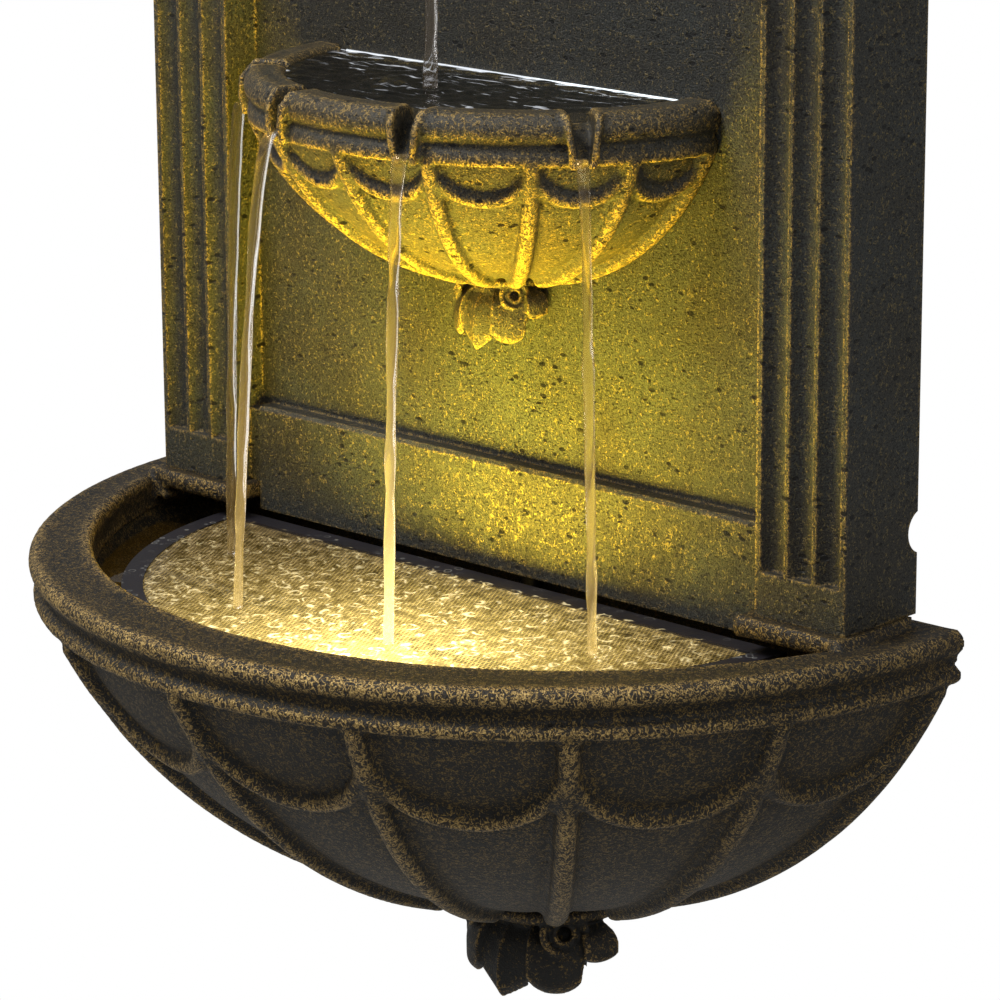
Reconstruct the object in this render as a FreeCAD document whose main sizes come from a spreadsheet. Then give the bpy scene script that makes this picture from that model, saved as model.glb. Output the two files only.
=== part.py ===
import FreeCAD, Part
import math
import os
import Sketcher
from FreeCAD import Vector, Placement, Rotation

# A two-tier garden wall fountain, in millimetres. +Z is up and the wall is the plane y = 0.
# The object stands in front of the wall, towards -Y. The origin is on the wall plane, mid-width,
# at the level of the two ledges of the lower basin that carry the backboard.

DOC = FreeCAD.newDocument("fountain")
SHEET = DOC.addObject("Spreadsheet::Sheet", "Sizes")

# Driving sizes: name, value
SIZES = [
    # backboard
    ("board_width", 474.0),
    ("board_depth", 55.0),
    ("board_height", 500.0),
    ("pilaster_width", 55.0),
    ("panel_recess", 22.0),
    ("panel_wall", 7.0),
    ("side_wall", 9.0),
    ("pilaster_wall", 12.0),
    ("plinth_height", 22.5),
    ("flute_radius", 7.6),
    ("flute_depth", 5.5),
    ("flute_pitch", 17.0),
    ("apron_top", 42.0),
    ("apron_bottom", -15.0),
    ("apron_wall", 10.0),
    ("cable_notch_height", 41.0),
    ("cable_notch_radius", 11.0),
    # lower basin
    ("basin_radius", 264.0),
    ("basin_axis", 5.0),
    ("basin_rim_drop", 3.5),
    ("bowl_arc_radius", 305.0),
    ("bowl_arc_height", 108.0),
    ("basin_wall", 11.0),
    ("basin_back_wall", 9.0),
    ("basin_floor", -170.0),
    ("mouth_radius", 249.0),
    ("mouth_centre", 14.0),
    ("back_lip", 14.0),
    ("ledge_front", 63.5),
    ("ledge_inner", 177.0),
    ("ledge_thick", 8.0),
    ("rib_radius", 6.2),
    ("rib_end", -181.0),
    ("swag_start", -44.0),
    ("swag_low", -81.5),
    ("swag_share", 0.9),
    ("swag_sunk", 0.5),
    # upper bowl
    ("bowl_half_width", 137.0),
    ("bowl_depth", 121.0),
    ("bowl_rim_top", 242.0),
    ("bowl_rim_bottom", 217.0),
    ("upper_arc_radius", 138.0),
    ("upper_arc_height", 278.0),
    ("bowl_wall", 7.0),
    ("bowl_rim_width", 20.0),
    ("bowl_floor", 155.0),
    ("bowl_rib_radius", 4.6),
    ("bowl_rib_end", 143.0),
    ("bowl_swag_start", 212.0),
    ("bowl_swag_low", 198.0),
    ("chute_sill", 235.0),
    ("chute_gap", 6.0),
    ("chute_lean", 8.0),
    ("chute_plate", 3.0),
    ("bolt_spacing", 140.0),
    ("bolt_height", 190.0),
    ("bolt_radius", 3.0),
    # screen over the basin
    ("screen_radius", 194.0),
    ("screen_centre", 40.0),
    ("screen_back", 46.0),
    ("screen_top", -18.0),
    ("screen_thick", 5.0),
    ("screen_rim", 11.0),
    ("mesh_thick", 1.2),
    ("leg_radius", 4.0),
    ("front_leg_side", 95.0),
    ("front_leg_front", 150.0),
    ("front_leg_foot", -114.0),
    ("end_leg_side", 148.0),
    ("end_leg_front", 62.0),
    ("end_leg_foot", -123.0),
    # cornice
    ("cornice_height", 46.0),
    ("cornice_overhang", 26.0),
    ("arch_rise", 47.0),
    # spout, hose and pump
    ("spout_height", 392.0),
    ("spout_reach", 84.0),
    ("spout_pipe_radius", 8.0),
    ("hose_radius", 6.5),
    ("hose_bore", 5.0),
    ("hose_depth", 16.0),
    ("hose_bend", 45.0),
    ("fit_gap", 0.05),
    ("pump_width", 56.0),
    ("pump_depth", 44.0),
    ("pump_height", 46.0),
    ("pump_front", 69.0),
    ("outlet_front", 58.0),
    ("cup_height", 8.0),
    ("shaft_radius", 1.5),
    ("lamp_radius", 21.0),
    ("lamp_side", 20.0),
    ("lamp_front", 163.0),
    ("lamp_pad_top", -103.0),
    # wall hangers
    ("hanger_spacing", 300.0),
    ("hanger_height", 446.0),
    ("screw_radius", 2.0),
]
for row, (alias, value) in enumerate(SIZES, start=1):
    SHEET.set("A%d" % row, alias)
    SHEET.set("B%d" % row, str(value))
    SHEET.setAlias("B%d" % row, alias)
DOC.recompute()


def size(alias):
    """A driving size as a number."""
    return float(getattr(SHEET, alias))


def value_of(text):
    """The number that an expression in the sheet's names comes to."""
    return float(SHEET.evalExpression(text))


def block(name, across, deep, high):
    """A box between two corners, each side given as a pair of expressions."""
    obj = DOC.addObject("Part::Box", name)
    for prop, axis, (low, top) in zip(("Length", "Width", "Height"), "xyz", (across, deep, high)):
        obj.setExpression(prop, "(%s) - (%s)" % (top, low))
        obj.setExpression("Placement.Base." + axis, low)
    return obj


TURNS = {
    "+Z": Rotation(),
    "-Z": Rotation(Vector(1, 0, 0), 180),
    "+X": Rotation(Vector(0, 1, 0), 90),
    "+Y": Rotation(Vector(1, 0, 0), -90),
    "-Y": Rotation(Vector(1, 0, 0), 90),
}


def place(obj, at, turn="+Z"):
    """Put an object at a point given by three expressions, its own Z along turn."""
    obj.Placement = Placement(Vector(), TURNS[turn] if isinstance(turn, str) else turn)
    for axis, text in zip("xyz", at):
        obj.setExpression("Placement.Base." + axis, text)
    return obj


def rod(name, radius, length, at, turn="+Z"):
    """A cylinder that starts at a point and runs along turn."""
    obj = DOC.addObject("Part::Cylinder", name)
    obj.setExpression("Radius", radius)
    obj.setExpression("Height", length)
    return place(obj, at, turn)


def fuse(name, parts):
    obj = DOC.addObject("Part::MultiFuse", name)
    obj.Shapes = parts
    obj.Refine = True
    return obj


def cut(name, base, tools):
    obj = DOC.addObject("Part::Cut", name)
    obj.Base = base
    obj.Tool = tools[0] if len(tools) == 1 else fuse(name + "_tools", tools)
    obj.Refine = True
    return obj


def group(name, parts):
    """Identical loose pieces that share one node."""
    obj = DOC.addObject("Part::Compound", name)
    obj.Links = parts
    return obj


def solid_node(name, shape):
    """A sub-part whose shape is worked out from the sheet's values by a function."""
    obj = DOC.addObject("Part::Feature", name)
    obj.Shape = shape
    obj.Placement = Placement()
    return obj


def origin_plane(body, role):
    return next(item for item in body.Origin.OriginFeatures if item.Role == role)


def outline_sketch(body, name, role, points, raised="0"):
    """A closed outline on an origin plane: every corner is held by two bound distances."""
    sketch = body.newObject("Sketcher::SketchObject", name)
    sketch.AttachmentSupport = [(origin_plane(body, role), "")]
    sketch.MapMode = "FlatFace"
    sketch.setExpression("AttachmentOffset.Base.z", raised)
    corners = [Vector(value_of(x), value_of(y), 0) for x, y in points]
    last = len(corners)
    for i in range(last):
        sketch.addGeometry(Part.LineSegment(corners[i], corners[(i + 1) % last]), False)
    for i in range(last):
        sketch.addConstraint(Sketcher.Constraint("Coincident", i, 2, (i + 1) % last, 1))
    for i, texts in enumerate(points):
        for kind, text, number in zip(("DistanceX", "DistanceY"), texts, corners[i]):
            index = sketch.addConstraint(Sketcher.Constraint(kind, -1, 1, i, 1, number))
            sketch.setExpression("Constraints[%d]" % index, text)
    return sketch


def circle_sketch(body, name, role, centres, radius, raised="0"):
    """Equal circles on an origin plane, their centres and radius bound to the sheet."""
    sketch = body.newObject("Sketcher::SketchObject", name)
    sketch.AttachmentSupport = [(origin_plane(body, role), "")]
    sketch.MapMode = "FlatFace"
    sketch.setExpression("AttachmentOffset.Base.z", raised)
    for i, texts in enumerate(centres):
        centre = Vector(value_of(texts[0]), value_of(texts[1]), 0)
        sketch.addGeometry(Part.Circle(centre, Vector(0, 0, 1), value_of(radius)), False)
        for kind, text, number in zip(("DistanceX", "DistanceY"), texts, centre):
            index = sketch.addConstraint(Sketcher.Constraint(kind, -1, 1, i, 3, number))
            sketch.setExpression("Constraints[%d]" % index, text)
        index = sketch.addConstraint(Sketcher.Constraint("Radius", i, value_of(radius)))
        sketch.setExpression("Constraints[%d]" % index, radius)
    return sketch


def pad(body, sketch, length):
    feature = body.newObject("PartDesign::Pad", sketch.Name + "_pad")
    feature.Profile = sketch
    feature.setExpression("Length", length)
    return feature


def pocket(body, sketch, length, reverse=False):
    """A pocket: by default it runs against the sketch's normal."""
    feature = body.newObject("PartDesign::Pocket", sketch.Name + "_pocket")
    feature.Profile = sketch
    feature.Reversed = reverse
    feature.setExpression("Length", length)
    return feature


def turned(name, points, at, turn="+Z"):
    """A body turned about its own Z from an outline of (radius, height) corners."""
    body = DOC.addObject("PartDesign::Body", name)
    sketch = outline_sketch(body, name + "_profile", "XZ_Plane", points)
    feature = body.newObject("PartDesign::Revolution", name + "_turned")
    feature.Profile = sketch
    feature.ReferenceAxis = (sketch, ["V_Axis"])
    feature.Angle = 360.0
    return place(body, at, turn)


def bent_rod(start, middle, end, radius):
    """A round rod along the arc through three points."""
    arc = Part.Arc(start, middle, end).toShape()
    first, last = arc.ParameterRange
    ring = Part.makeCircle(radius, start, arc.tangentAt(first))
    return Part.Face(Part.Wire(ring)).revolve(arc.Curve.Center, arc.Curve.Axis, math.degrees(last - first))


def revolved(edges, axis_point):
    """A full turn of a closed outline in the XZ plane about a vertical axis."""
    face = Part.Face(Part.Wire(Part.__sortEdges__(edges)))
    shape = face.revolve(axis_point, Vector(0, 0, 1), 360)
    shape.rotate(axis_point, Vector(0, 0, 1), 90)
    return shape


def line(a, b):
    return Part.LineSegment(Vector(a[0], 0, a[1]), Vector(b[0], 0, b[1])).toShape()


def curve(a, b, c):
    ends = [Vector(p[0], 0, p[1]) for p in (a, b, c)]
    return Part.Arc(*ends).toShape()


def on_circle(centre, radius, degrees):
    turn = math.radians(degrees)
    return (centre[0] + radius * math.cos(turn), centre[1] + radius * math.sin(turn))


def arc_on(centre, radius, start, end):
    """A circular stretch of an outline, between two angles in degrees."""
    middle = (start + end) / 2
    return curve(*[on_circle(centre, radius, t) for t in (start, middle, end)])


def smooth_arc(centre, radius, start, end):
    """The same stretch as a spline, for a bowl whose circle would cross the axis it is turned about."""
    edge = arc_on(centre, radius, start, end)
    return edge.Curve.toBSpline(*edge.ParameterRange).toShape()


# Both bowls share one ornament: ribs that run down the outside, with a swag hung between each pair
RIB_STEP = 22.5
RIB_TILT = 1.5


def rib_angle(index):
    """The ribs' directions in the plan, from +X round the front; the end ones lean off the wall."""
    return min(max(RIB_STEP * index, RIB_TILT), 180 - RIB_TILT)


def ornament(surface, radius, top, low_end, swag_start, swag_low):
    """Nine ribs and eight swags on a bowl. surface(angle, height, sunk) is a point of its outside.

    Each rib ends in a ball. The swags are thinner than the ribs and lie a little deeper."""
    pieces = []
    sunk = size("swag_sunk")
    for index in range(9):
        turn = rib_angle(index)
        start, middle, end = [surface(turn, z) for z in (top, (top + low_end) / 2, low_end)]
        pieces.append(bent_rod(start, middle, end, radius))
        pieces.append(Part.makeSphere(0.99 * radius, end))
    for index in range(8):
        turn, after = rib_angle(index), rib_angle(index + 1)
        left = surface(turn, swag_start, sunk)
        low = surface((turn + after) / 2, swag_low, sunk)
        right = surface(after, swag_start, sunk)
        pieces.append(bent_rod(left, low, right, size("swag_share") * radius))
    return pieces


def on_bowl(centre, radius, turn, height, sunk):
    """A point of a bowl's outside, or sunk below it, towards the centre of its arc in section."""
    inward = 1 - sunk / radius
    reach = centre[0] + inward * math.sqrt(radius ** 2 - (height - centre[1]) ** 2)
    side = math.radians(turn)
    return Vector(reach * math.cos(side), -reach * math.sin(side),
                  centre[1] + inward * (height - centre[1]))


def basin_arc():
    """The bowl's outside in section: the centre (radius, height) of its arc, and its radius."""
    radius = size("bowl_arc_radius")
    height = size("bowl_arc_height")
    under_rim = -size("basin_rim_drop") - 27.0
    reach = math.sqrt(radius ** 2 - (under_rim - height) ** 2)
    return (size("basin_radius") - 6.5 - reach, height), radius


def basin_shape():
    """The half-round lower basin: rolled rim and bead, bowl, hollow, back wall and two ledges."""
    outer = size("basin_radius")
    top = -size("basin_rim_drop")
    axis = Vector(0, -size("basin_axis"), 0)
    centre, radius = basin_arc()
    below = (outer - 6.5, top - 27.0)
    foot = 12.0
    bottom = centre[1] - math.sqrt(radius ** 2 - (foot - centre[0]) ** 2)
    roll = (outer - 3.0, top - 5.5)
    bead = (outer - 4.0, top - 21.7)
    roll_end = on_circle(roll, 5.5, -60)
    band_end = (outer - 2.2, top - 16.4)
    bead_start = on_circle(bead, 4.6, 85)
    bead_end = on_circle(bead, 4.6, -60)
    start = math.degrees(math.asin((below[1] - centre[1]) / radius))
    end = math.degrees(math.asin((bottom - centre[1]) / radius))
    outline = [
        line((0, top), (roll[0], top)),
        arc_on(roll, 5.5, 90, -60),
        line(roll_end, band_end),
        line(band_end, bead_start),
        arc_on(bead, 4.6, 85, -60),
        line(bead_end, below),
        smooth_arc(centre, radius, start, end),
        line((foot, bottom), (0, bottom)),
        line((0, bottom), (0, top)),
    ]
    whole = revolved(outline, Vector()).translated(axis)

    inner = radius - size("basin_wall")
    floor = size("basin_floor")
    roof = top - 18.0
    roof_edge = (centre[0] + math.sqrt(inner ** 2 - (roof - centre[1]) ** 2), roof)
    floor_edge = (centre[0] + math.sqrt(inner ** 2 - (floor - centre[1]) ** 2), floor)
    angles = [math.degrees(math.asin((p[1] - centre[1]) / inner)) for p in (roof_edge, floor_edge)]
    hollow = revolved([
        line((0, roof), roof_edge),
        smooth_arc(centre, inner, *angles),
        line(floor_edge, (0, floor)),
        line((0, floor), (0, roof)),
    ], Vector()).translated(axis)

    mouth = size("mouth_radius")
    opening = revolved([
        line((0, roof - 1), (mouth, roof - 1)),
        line((mouth, roof - 1), (mouth, top - 4.0)),
        arc_on((mouth + 4.0, top - 4.0), 4.0, 180, 90),
        line((mouth + 4.0, top), (mouth + 4.0, top + 5)),
        line((mouth + 4.0, top + 5), (0, top + 5)),
        line((0, top + 5), (0, roof - 1)),
    ], Vector()).translated(Vector(0, size("mouth_centre"), 0))

    wall = size("basin_back_wall")
    front = Part.makeBox(4 * outer, 2 * outer, 4 * outer, Vector(-2 * outer, -2 * outer - wall, -2 * outer))
    solid = whole.cut(hollow.common(front)).cut(opening.common(front))

    def surface(turn, height, sunk=0.0):
        return on_bowl(centre, radius, turn, height, sunk) + axis

    ribs = ornament(surface, size("rib_radius"), below[1] + 2.0, size("rib_end"),
                    size("swag_start"), size("swag_low"))

    thick = size("ledge_thick")
    reach = size("ledge_front")
    inside = size("ledge_inner")
    edge = size("board_width") / 2 + 4.0
    shelves = []
    for side in (-1, 1):
        left = min(side * inside, side * edge)
        shelves.append(Part.makeBox(edge - inside, reach - wall + 1, thick,
                                    Vector(left, -reach, -thick)))
        left = min(side * (edge - 12), side * (mouth + 3))
        shelves.append(Part.makeBox(mouth + 15 - edge, reach - wall + 1, thick + 4,
                                    Vector(left, -reach, top - thick - 4)))
    lip_half = size("board_width") / 2 - size("side_wall") - 1.0
    lip = Part.makeBox(2 * lip_half, wall, size("back_lip") - top + 1,
                       Vector(-lip_half, -wall, top - 1))
    lamp_pad = whole.common(Part.makeCylinder(
        size("lamp_radius") + 3.0, 60,
        Vector(size("lamp_side"), -size("lamp_front"), size("lamp_pad_top") - 60)))
    solid = solid.fuse(ribs + shelves + [lip, lamp_pad])
    room = Part.makeBox(4 * outer, 2 * outer, 4 * outer, Vector(-2 * outer, -2 * outer, -2 * outer))
    return solid.common(room).removeSplitter()


basin = solid_node("basin", basin_shape())


# The four chutes in the upper bowl's rim, as directions in the plan before it is drawn in
CHUTE_ANGLES = (34.5, 72.0, 108.0, 145.5)


def upper_arc():
    """The upper bowl's outside in section: the centre (radius, height) of its arc."""
    radius = size("upper_arc_radius")
    height = size("upper_arc_height")
    drop = height - size("bowl_rim_bottom")
    return (size("bowl_half_width") - 4.5 - math.sqrt(radius ** 2 - drop ** 2), height)


def panel_front():
    return -(size("board_depth") - size("panel_recess"))


def chute_frame(turn):
    """The outermost point of the rim at a chute, and the directions out of it and along the rim."""
    wide = size("bowl_half_width")
    deep = size("bowl_depth")
    side = math.radians(turn)
    point = Vector(wide * math.cos(side), panel_front() - deep * math.sin(side), 0)
    out = Vector(deep * math.cos(side), -wide * math.sin(side), 0).normalize()
    return point, out, Vector(0, 0, 1).cross(out)


# A chute's cheek and its channel in section along the chute: (distance out of the rim, height)
CHEEK = ((-9, 25.5), (-1, 25.5), (4.5, 19), (5.5, 9), (3.5, 0), (-3, 0), (-9, 8))
CHANNEL = ((-28, 40), (-28, 18), (-12, 16.5), (3, 1.5), (14, 1.5), (14, 40))


def section_of_chute(turn, outline):
    """A face in the upright middle plane of a chute."""
    point, out, along = chute_frame(turn)
    low = size("bowl_rim_bottom")
    return Part.Face(Part.makePolygon([point + out * s + Vector(0, 0, low + z)
                                       for s, z in outline + outline[:1]]))


def chute_cheek(turn):
    """The plate at one side of a chute, standing off its middle and leaning outward."""
    point, out, along = chute_frame(turn)
    offset = along * (size("chute_gap") / 2)
    plate = section_of_chute(turn, CHEEK).extrude(along * size("chute_plate"))
    plate.translate(offset)
    plate.rotate(point + offset + Vector(0, 0, size("bowl_rim_bottom")), out, -size("chute_lean"))
    return plate


def chute_channel(turn):
    """The room between the cheeks, which widens upward, down to the chute's sloping bed."""
    point, out, along = chute_frame(turn)
    low = size("bowl_rim_bottom")
    inmost, outmost = CHANNEL[0][0], CHANNEL[-1][0]
    high = CHANNEL[0][1]
    narrow = size("chute_gap") / 2 + 0.3
    broad = narrow + high * math.tan(math.radians(size("chute_lean")))
    corners = ((-narrow, 0), (narrow, 0), (broad, high), (-broad, high), (-narrow, 0))
    wedge = Part.Face(Part.makePolygon([point + out * inmost + along * y + Vector(0, 0, low + z)
                                        for y, z in corners])).extrude(out * (outmost - inmost))
    bed = section_of_chute(turn, CHANNEL).extrude(along * 24)
    bed.translate(along * -12)
    return wedge.common(bed)


def mirrored_chute(shape, turn):
    point, out, along = chute_frame(turn)
    return shape.mirror(point, along)


def upper_bowl_shape():
    """The half-oval upper bowl: rolled rim, ribs and swags, hollow, back wall and four chutes."""
    wide = size("bowl_half_width")
    squeeze = size("bowl_depth") / wide
    top = size("bowl_rim_top")
    low = size("bowl_rim_bottom")
    centre = upper_arc()
    radius = size("upper_arc_radius")
    roll = (wide - 6.0, top - 8.5)
    bottom = centre[1] - radius
    start = math.degrees(math.asin((low - centre[1]) / radius))
    outline = [
        line((0, top), (roll[0], top)),
        arc_on(roll, 8.5, 90, -45),
        line(on_circle(roll, 8.5, -45), (wide - 1.5, top - 16.0)),
        curve((wide - 1.5, top - 16.0), (wide + 0.8, top - 20.5), (wide, low)),
        line((wide, low), (wide - 4.5, low)),
        arc_on(centre, radius, start, -90),
        line((centre[0], bottom), (0, bottom)),
        line((0, bottom), (0, top)),
    ]
    solid = revolved(outline, Vector())

    mouth = wide - size("bowl_rim_width")
    inner = radius - size("bowl_wall")
    floor = size("bowl_floor")
    turn_height = centre[1] - math.sqrt(inner ** 2 - (mouth - centre[0]) ** 2)
    floor_edge = centre[0] + math.sqrt(inner ** 2 - (floor - centre[1]) ** 2)
    angles = [math.degrees(math.asin((z - centre[1]) / inner)) for z in (turn_height, floor)]
    hollow = revolved([
        line((0, top + 2), (mouth + 6.0, top + 2)),
        line((mouth + 6.0, top + 2), (mouth + 6.0, top)),
        arc_on((mouth + 6.0, top - 6.0), 6.0, 90, 180),
        line((mouth, top - 6.0), (mouth, turn_height)),
        arc_on(centre, inner, *angles),
        line((floor_edge, floor), (0, floor)),
        line((0, floor), (0, top + 2)),
    ], Vector())

    squash = FreeCAD.Matrix()
    squash.scale(1, squeeze, 1)
    squash.move(Vector(0, panel_front(), 0))
    solid = solid.transformGeometry(squash)
    hollow = hollow.transformGeometry(squash)

    def surface(turn, height, sunk=0.0):
        point = on_bowl(centre, radius, turn, height, sunk)
        return Vector(point.x, panel_front() + squeeze * point.y, point.z)

    solid = solid.fuse(ornament(surface, size("bowl_rib_radius"), low + 2.0, size("bowl_rib_end"),
                                size("bowl_swag_start"), size("bowl_swag_low")))

    room = 4 * wide
    sill = size("chute_sill")
    before_wall = Part.makeBox(room, room, room,
                               Vector(-room / 2, panel_front() - size("bowl_wall") - room, -room / 4))
    over_sill = Part.makeBox(room, room, room, Vector(-room / 2, panel_front() - room, sill))
    solid = solid.cut(hollow.common(before_wall.fuse(over_sill)))
    bosses = []
    holes = []
    for side in (-1, 1):
        at = Vector(side * size("bolt_spacing") / 2, panel_front(), size("bolt_height"))
        bosses.append(Part.makeCylinder(9.0, 18.0, at, Vector(0, -1, 0)))
        holes.append(Part.makeCylinder(size("bolt_radius") + 1.5, 14.0, at, Vector(0, -1, 0)))
    cheeks = []
    channels = []
    for turn in CHUTE_ANGLES:
        cheek = chute_cheek(turn)
        cheeks += [cheek, mirrored_chute(cheek, turn)]
        channels.append(chute_channel(turn))
    solid = solid.fuse(cheeks + bosses).cut(channels + holes)
    keep = Part.makeBox(room, room, room, Vector(-room / 2, panel_front() - room, -room / 4))
    return solid.common(keep)


upper_bowl = solid_node("upper_bowl", upper_bowl_shape())


# Backboard: an open-backed casting with two fluted pilasters, a sunk panel and an apron
HALF = "Sizes.board_width / 2"
FRONT = "-Sizes.board_depth"
PANEL_FRONT = "-(Sizes.board_depth - Sizes.panel_recess)"
PANEL_BACK = "-(Sizes.board_depth - Sizes.panel_recess - Sizes.panel_wall)"
INNER_SIDE = HALF + " - Sizes.pilaster_width"


def mirrored_pair(name, across, deep, high):
    """Two boxes at equal distances either side of the middle; across gives the right-hand one."""
    right = block(name + "_right", across, deep, high)
    left = block(name + "_left", ("-(%s)" % across[1], "-(%s)" % across[0]), deep, high)
    return [right, left]


def apron():
    """The low board between the pilasters, with a bevelled top edge; it dips into the basin."""
    body = DOC.addObject("PartDesign::Body", "apron")
    front = "%s - Sizes.apron_wall" % PANEL_FRONT
    profile = outline_sketch(body, "apron_profile", "YZ_Plane", [
        (PANEL_BACK, "Sizes.apron_bottom"),
        (front, "Sizes.apron_bottom"),
        (front, "Sizes.apron_top - 2"),
        (front + " + 2", "Sizes.apron_top"),
        (PANEL_BACK, "Sizes.apron_top"),
    ], raised="-(Sizes.ledge_inner - 1.5)")
    pad(body, profile, "2 * (Sizes.ledge_inner - 1.5)")
    return body


def backboard():
    tall = ("0", "Sizes.board_height")
    parts = mirrored_pair("side", ("%s - Sizes.side_wall" % HALF, HALF), (FRONT, "0"), tall)
    parts += mirrored_pair("pilaster", (INNER_SIDE, HALF),
                           (FRONT, FRONT + " + Sizes.pilaster_wall"), tall)
    parts += mirrored_pair("return", (INNER_SIDE, INNER_SIDE + " + 8"), (FRONT, PANEL_BACK), tall)
    parts.append(block("panel", ("-(%s)" % INNER_SIDE, INNER_SIDE), (PANEL_FRONT, PANEL_BACK), tall))
    parts.append(block("apron_upper", ("-(%s)" % INNER_SIDE, INNER_SIDE),
                       (PANEL_FRONT + " - Sizes.apron_wall", PANEL_BACK), ("0", "Sizes.apron_top - 2")))
    parts.append(apron())
    parts.append(block("crown", ("-(%s)" % HALF, HALF), (PANEL_FRONT, "0"),
                       ("Sizes.board_height - 9", "Sizes.board_height")))
    for side in (-1, 1):
        middle = "%d * Sizes.hanger_spacing / 2" % side
        parts.append(block("hanger_block", (middle + " - 22", middle + " + 22"), (PANEL_BACK, "-2"),
                           ("Sizes.hanger_height - 26", "Sizes.hanger_height + 34")))
    casting = fuse("backboard_casting", parts)

    tools = []
    for side in (-1, 1):
        for place_in_row in (-1, 0, 1):
            across = "%d * (%s - Sizes.pilaster_width / 2 + %d * Sizes.flute_pitch)" % (
                side, HALF, place_in_row)
            tools.append(rod("flute", "Sizes.flute_radius", "Sizes.board_height - 2 * Sizes.plinth_height",
                             (across, FRONT + " - Sizes.flute_radius + Sizes.flute_depth",
                              "Sizes.plinth_height")))
        tools.append(rod("bolt_hole", "Sizes.bolt_radius + 0.3", "Sizes.panel_wall + 2",
                         ("%d * Sizes.bolt_spacing / 2" % side, PANEL_BACK + " + 1",
                          "Sizes.bolt_height"), "-Y"))
        middle = "%d * Sizes.hanger_spacing / 2" % side
        tools.append(block("head_room", (middle + " - 9", middle + " + 9"), ("-16", "0"),
                           ("Sizes.hanger_height - 8", "Sizes.hanger_height + 20")))
        for up in (-1, 1):
            tools.append(rod("pilot", "Sizes.screw_radius + 0.03", "12",
                             (middle, "0", "Sizes.hanger_height + 4 + %d * 21" % up), "-Y"))
    tools.append(rod("spout_hole", "Sizes.spout_pipe_radius + 0.3", "Sizes.panel_wall + 2",
                     ("0", PANEL_BACK + " + 1", "Sizes.spout_height"), "-Y"))
    tools.append(rod("cable_notch", "Sizes.cable_notch_radius", "Sizes.side_wall + 2",
                     (HALF + " - Sizes.side_wall - 1", "4", "Sizes.cable_notch_height"), "+X"))
    return cut("backboard", casting, tools)


# Cornice: a mitred moulding under a low arched top
def cornice_profile():
    """Corners (overhang, height) of the cornice's moulding, from its foot to its top."""
    out = size("cornice_overhang")
    high = size("cornice_height")
    base = size("board_height")
    return [(0.10 * out, base), (0.10 * out, base + 0.16 * high), (0.34 * out, base + 0.22 * high),
            (0.34 * out, base + 0.40 * high), (0.50 * out, base + 0.52 * high),
            (0.86 * out, base + 0.66 * high), (0.86 * out, base + 0.74 * high),
            (out, base + 0.78 * high), (out, base + high)]


def cornice_shape():
    """The moulding returns along both sides; behind, the casting is hollow and open."""
    half = size("board_width") / 2
    depth = size("board_depth")
    base = size("board_height")
    top = base + size("cornice_height")
    steps = cornice_profile()
    out = size("cornice_overhang")
    side_view = [Vector(-400, -(depth + out), z) for out, z in steps]
    side_view += [Vector(-400, 0, top), Vector(-400, 0, base)]
    along = Part.Face(Part.makePolygon(side_view + side_view[:1])).extrude(Vector(800, 0, 0))
    front_view = [Vector(half + out, 0, z) for out, z in steps]
    front_view += [Vector(-half - out, 0, z) for out, z in reversed(steps)]
    across = Part.Face(Part.makePolygon(front_view + front_view[:1])).extrude(Vector(0, -400, 0))
    moulding = along.common(across)

    rise = size("arch_rise")
    reach = half + size("cornice_overhang") - 8.0
    arch = []
    for inset, foot, front in ((0.0, top - 1, depth + 14.0), (9.0, top, depth + 6.0)):
        ends = [Vector(-reach + 2 * inset, 0, foot), Vector(reach - 2 * inset, 0, foot)]
        peak = Vector(0, 0, top + rise - inset)
        outline = [Part.Arc(ends[0], peak, ends[1]).toShape(), Part.LineSegment(ends[1], ends[0]).toShape()]
        face = Part.Face(Part.Wire(outline))
        arch.append((face, front))
    pediment = arch[0][0].extrude(Vector(0, -arch[0][1], 0))
    sunk = arch[1][0].extrude(Vector(0, -60, 0)).translated(Vector(0, -arch[1][1], 0))
    wall = size("side_wall")
    behind = depth - size("panel_recess") - size("panel_wall")
    hollow = Part.makeBox(2 * (half - wall), behind, size("cornice_height") - wall + 1,
                          Vector(-half + wall, -behind, base - 1))
    return moulding.fuse([pediment]).cut([sunk, hollow]).removeSplitter()


# Leaf ornaments: folded lobes under a collar, standing against a flat back
def lobe(length, width, depth, at, turn):
    """One rounded lobe of a leaf: an ellipsoid hung from a point and turned about it."""
    ball = Part.makeSphere(1.0)
    stretch = FreeCAD.Matrix()
    stretch.scale(width / 2, depth / 2, length / 2)
    ball = ball.transformGeometry(stretch)
    ball.translate(Vector(0, 0, -length / 2))
    ball.Placement = Placement(at, turn).multiply(ball.Placement)
    return ball


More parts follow.
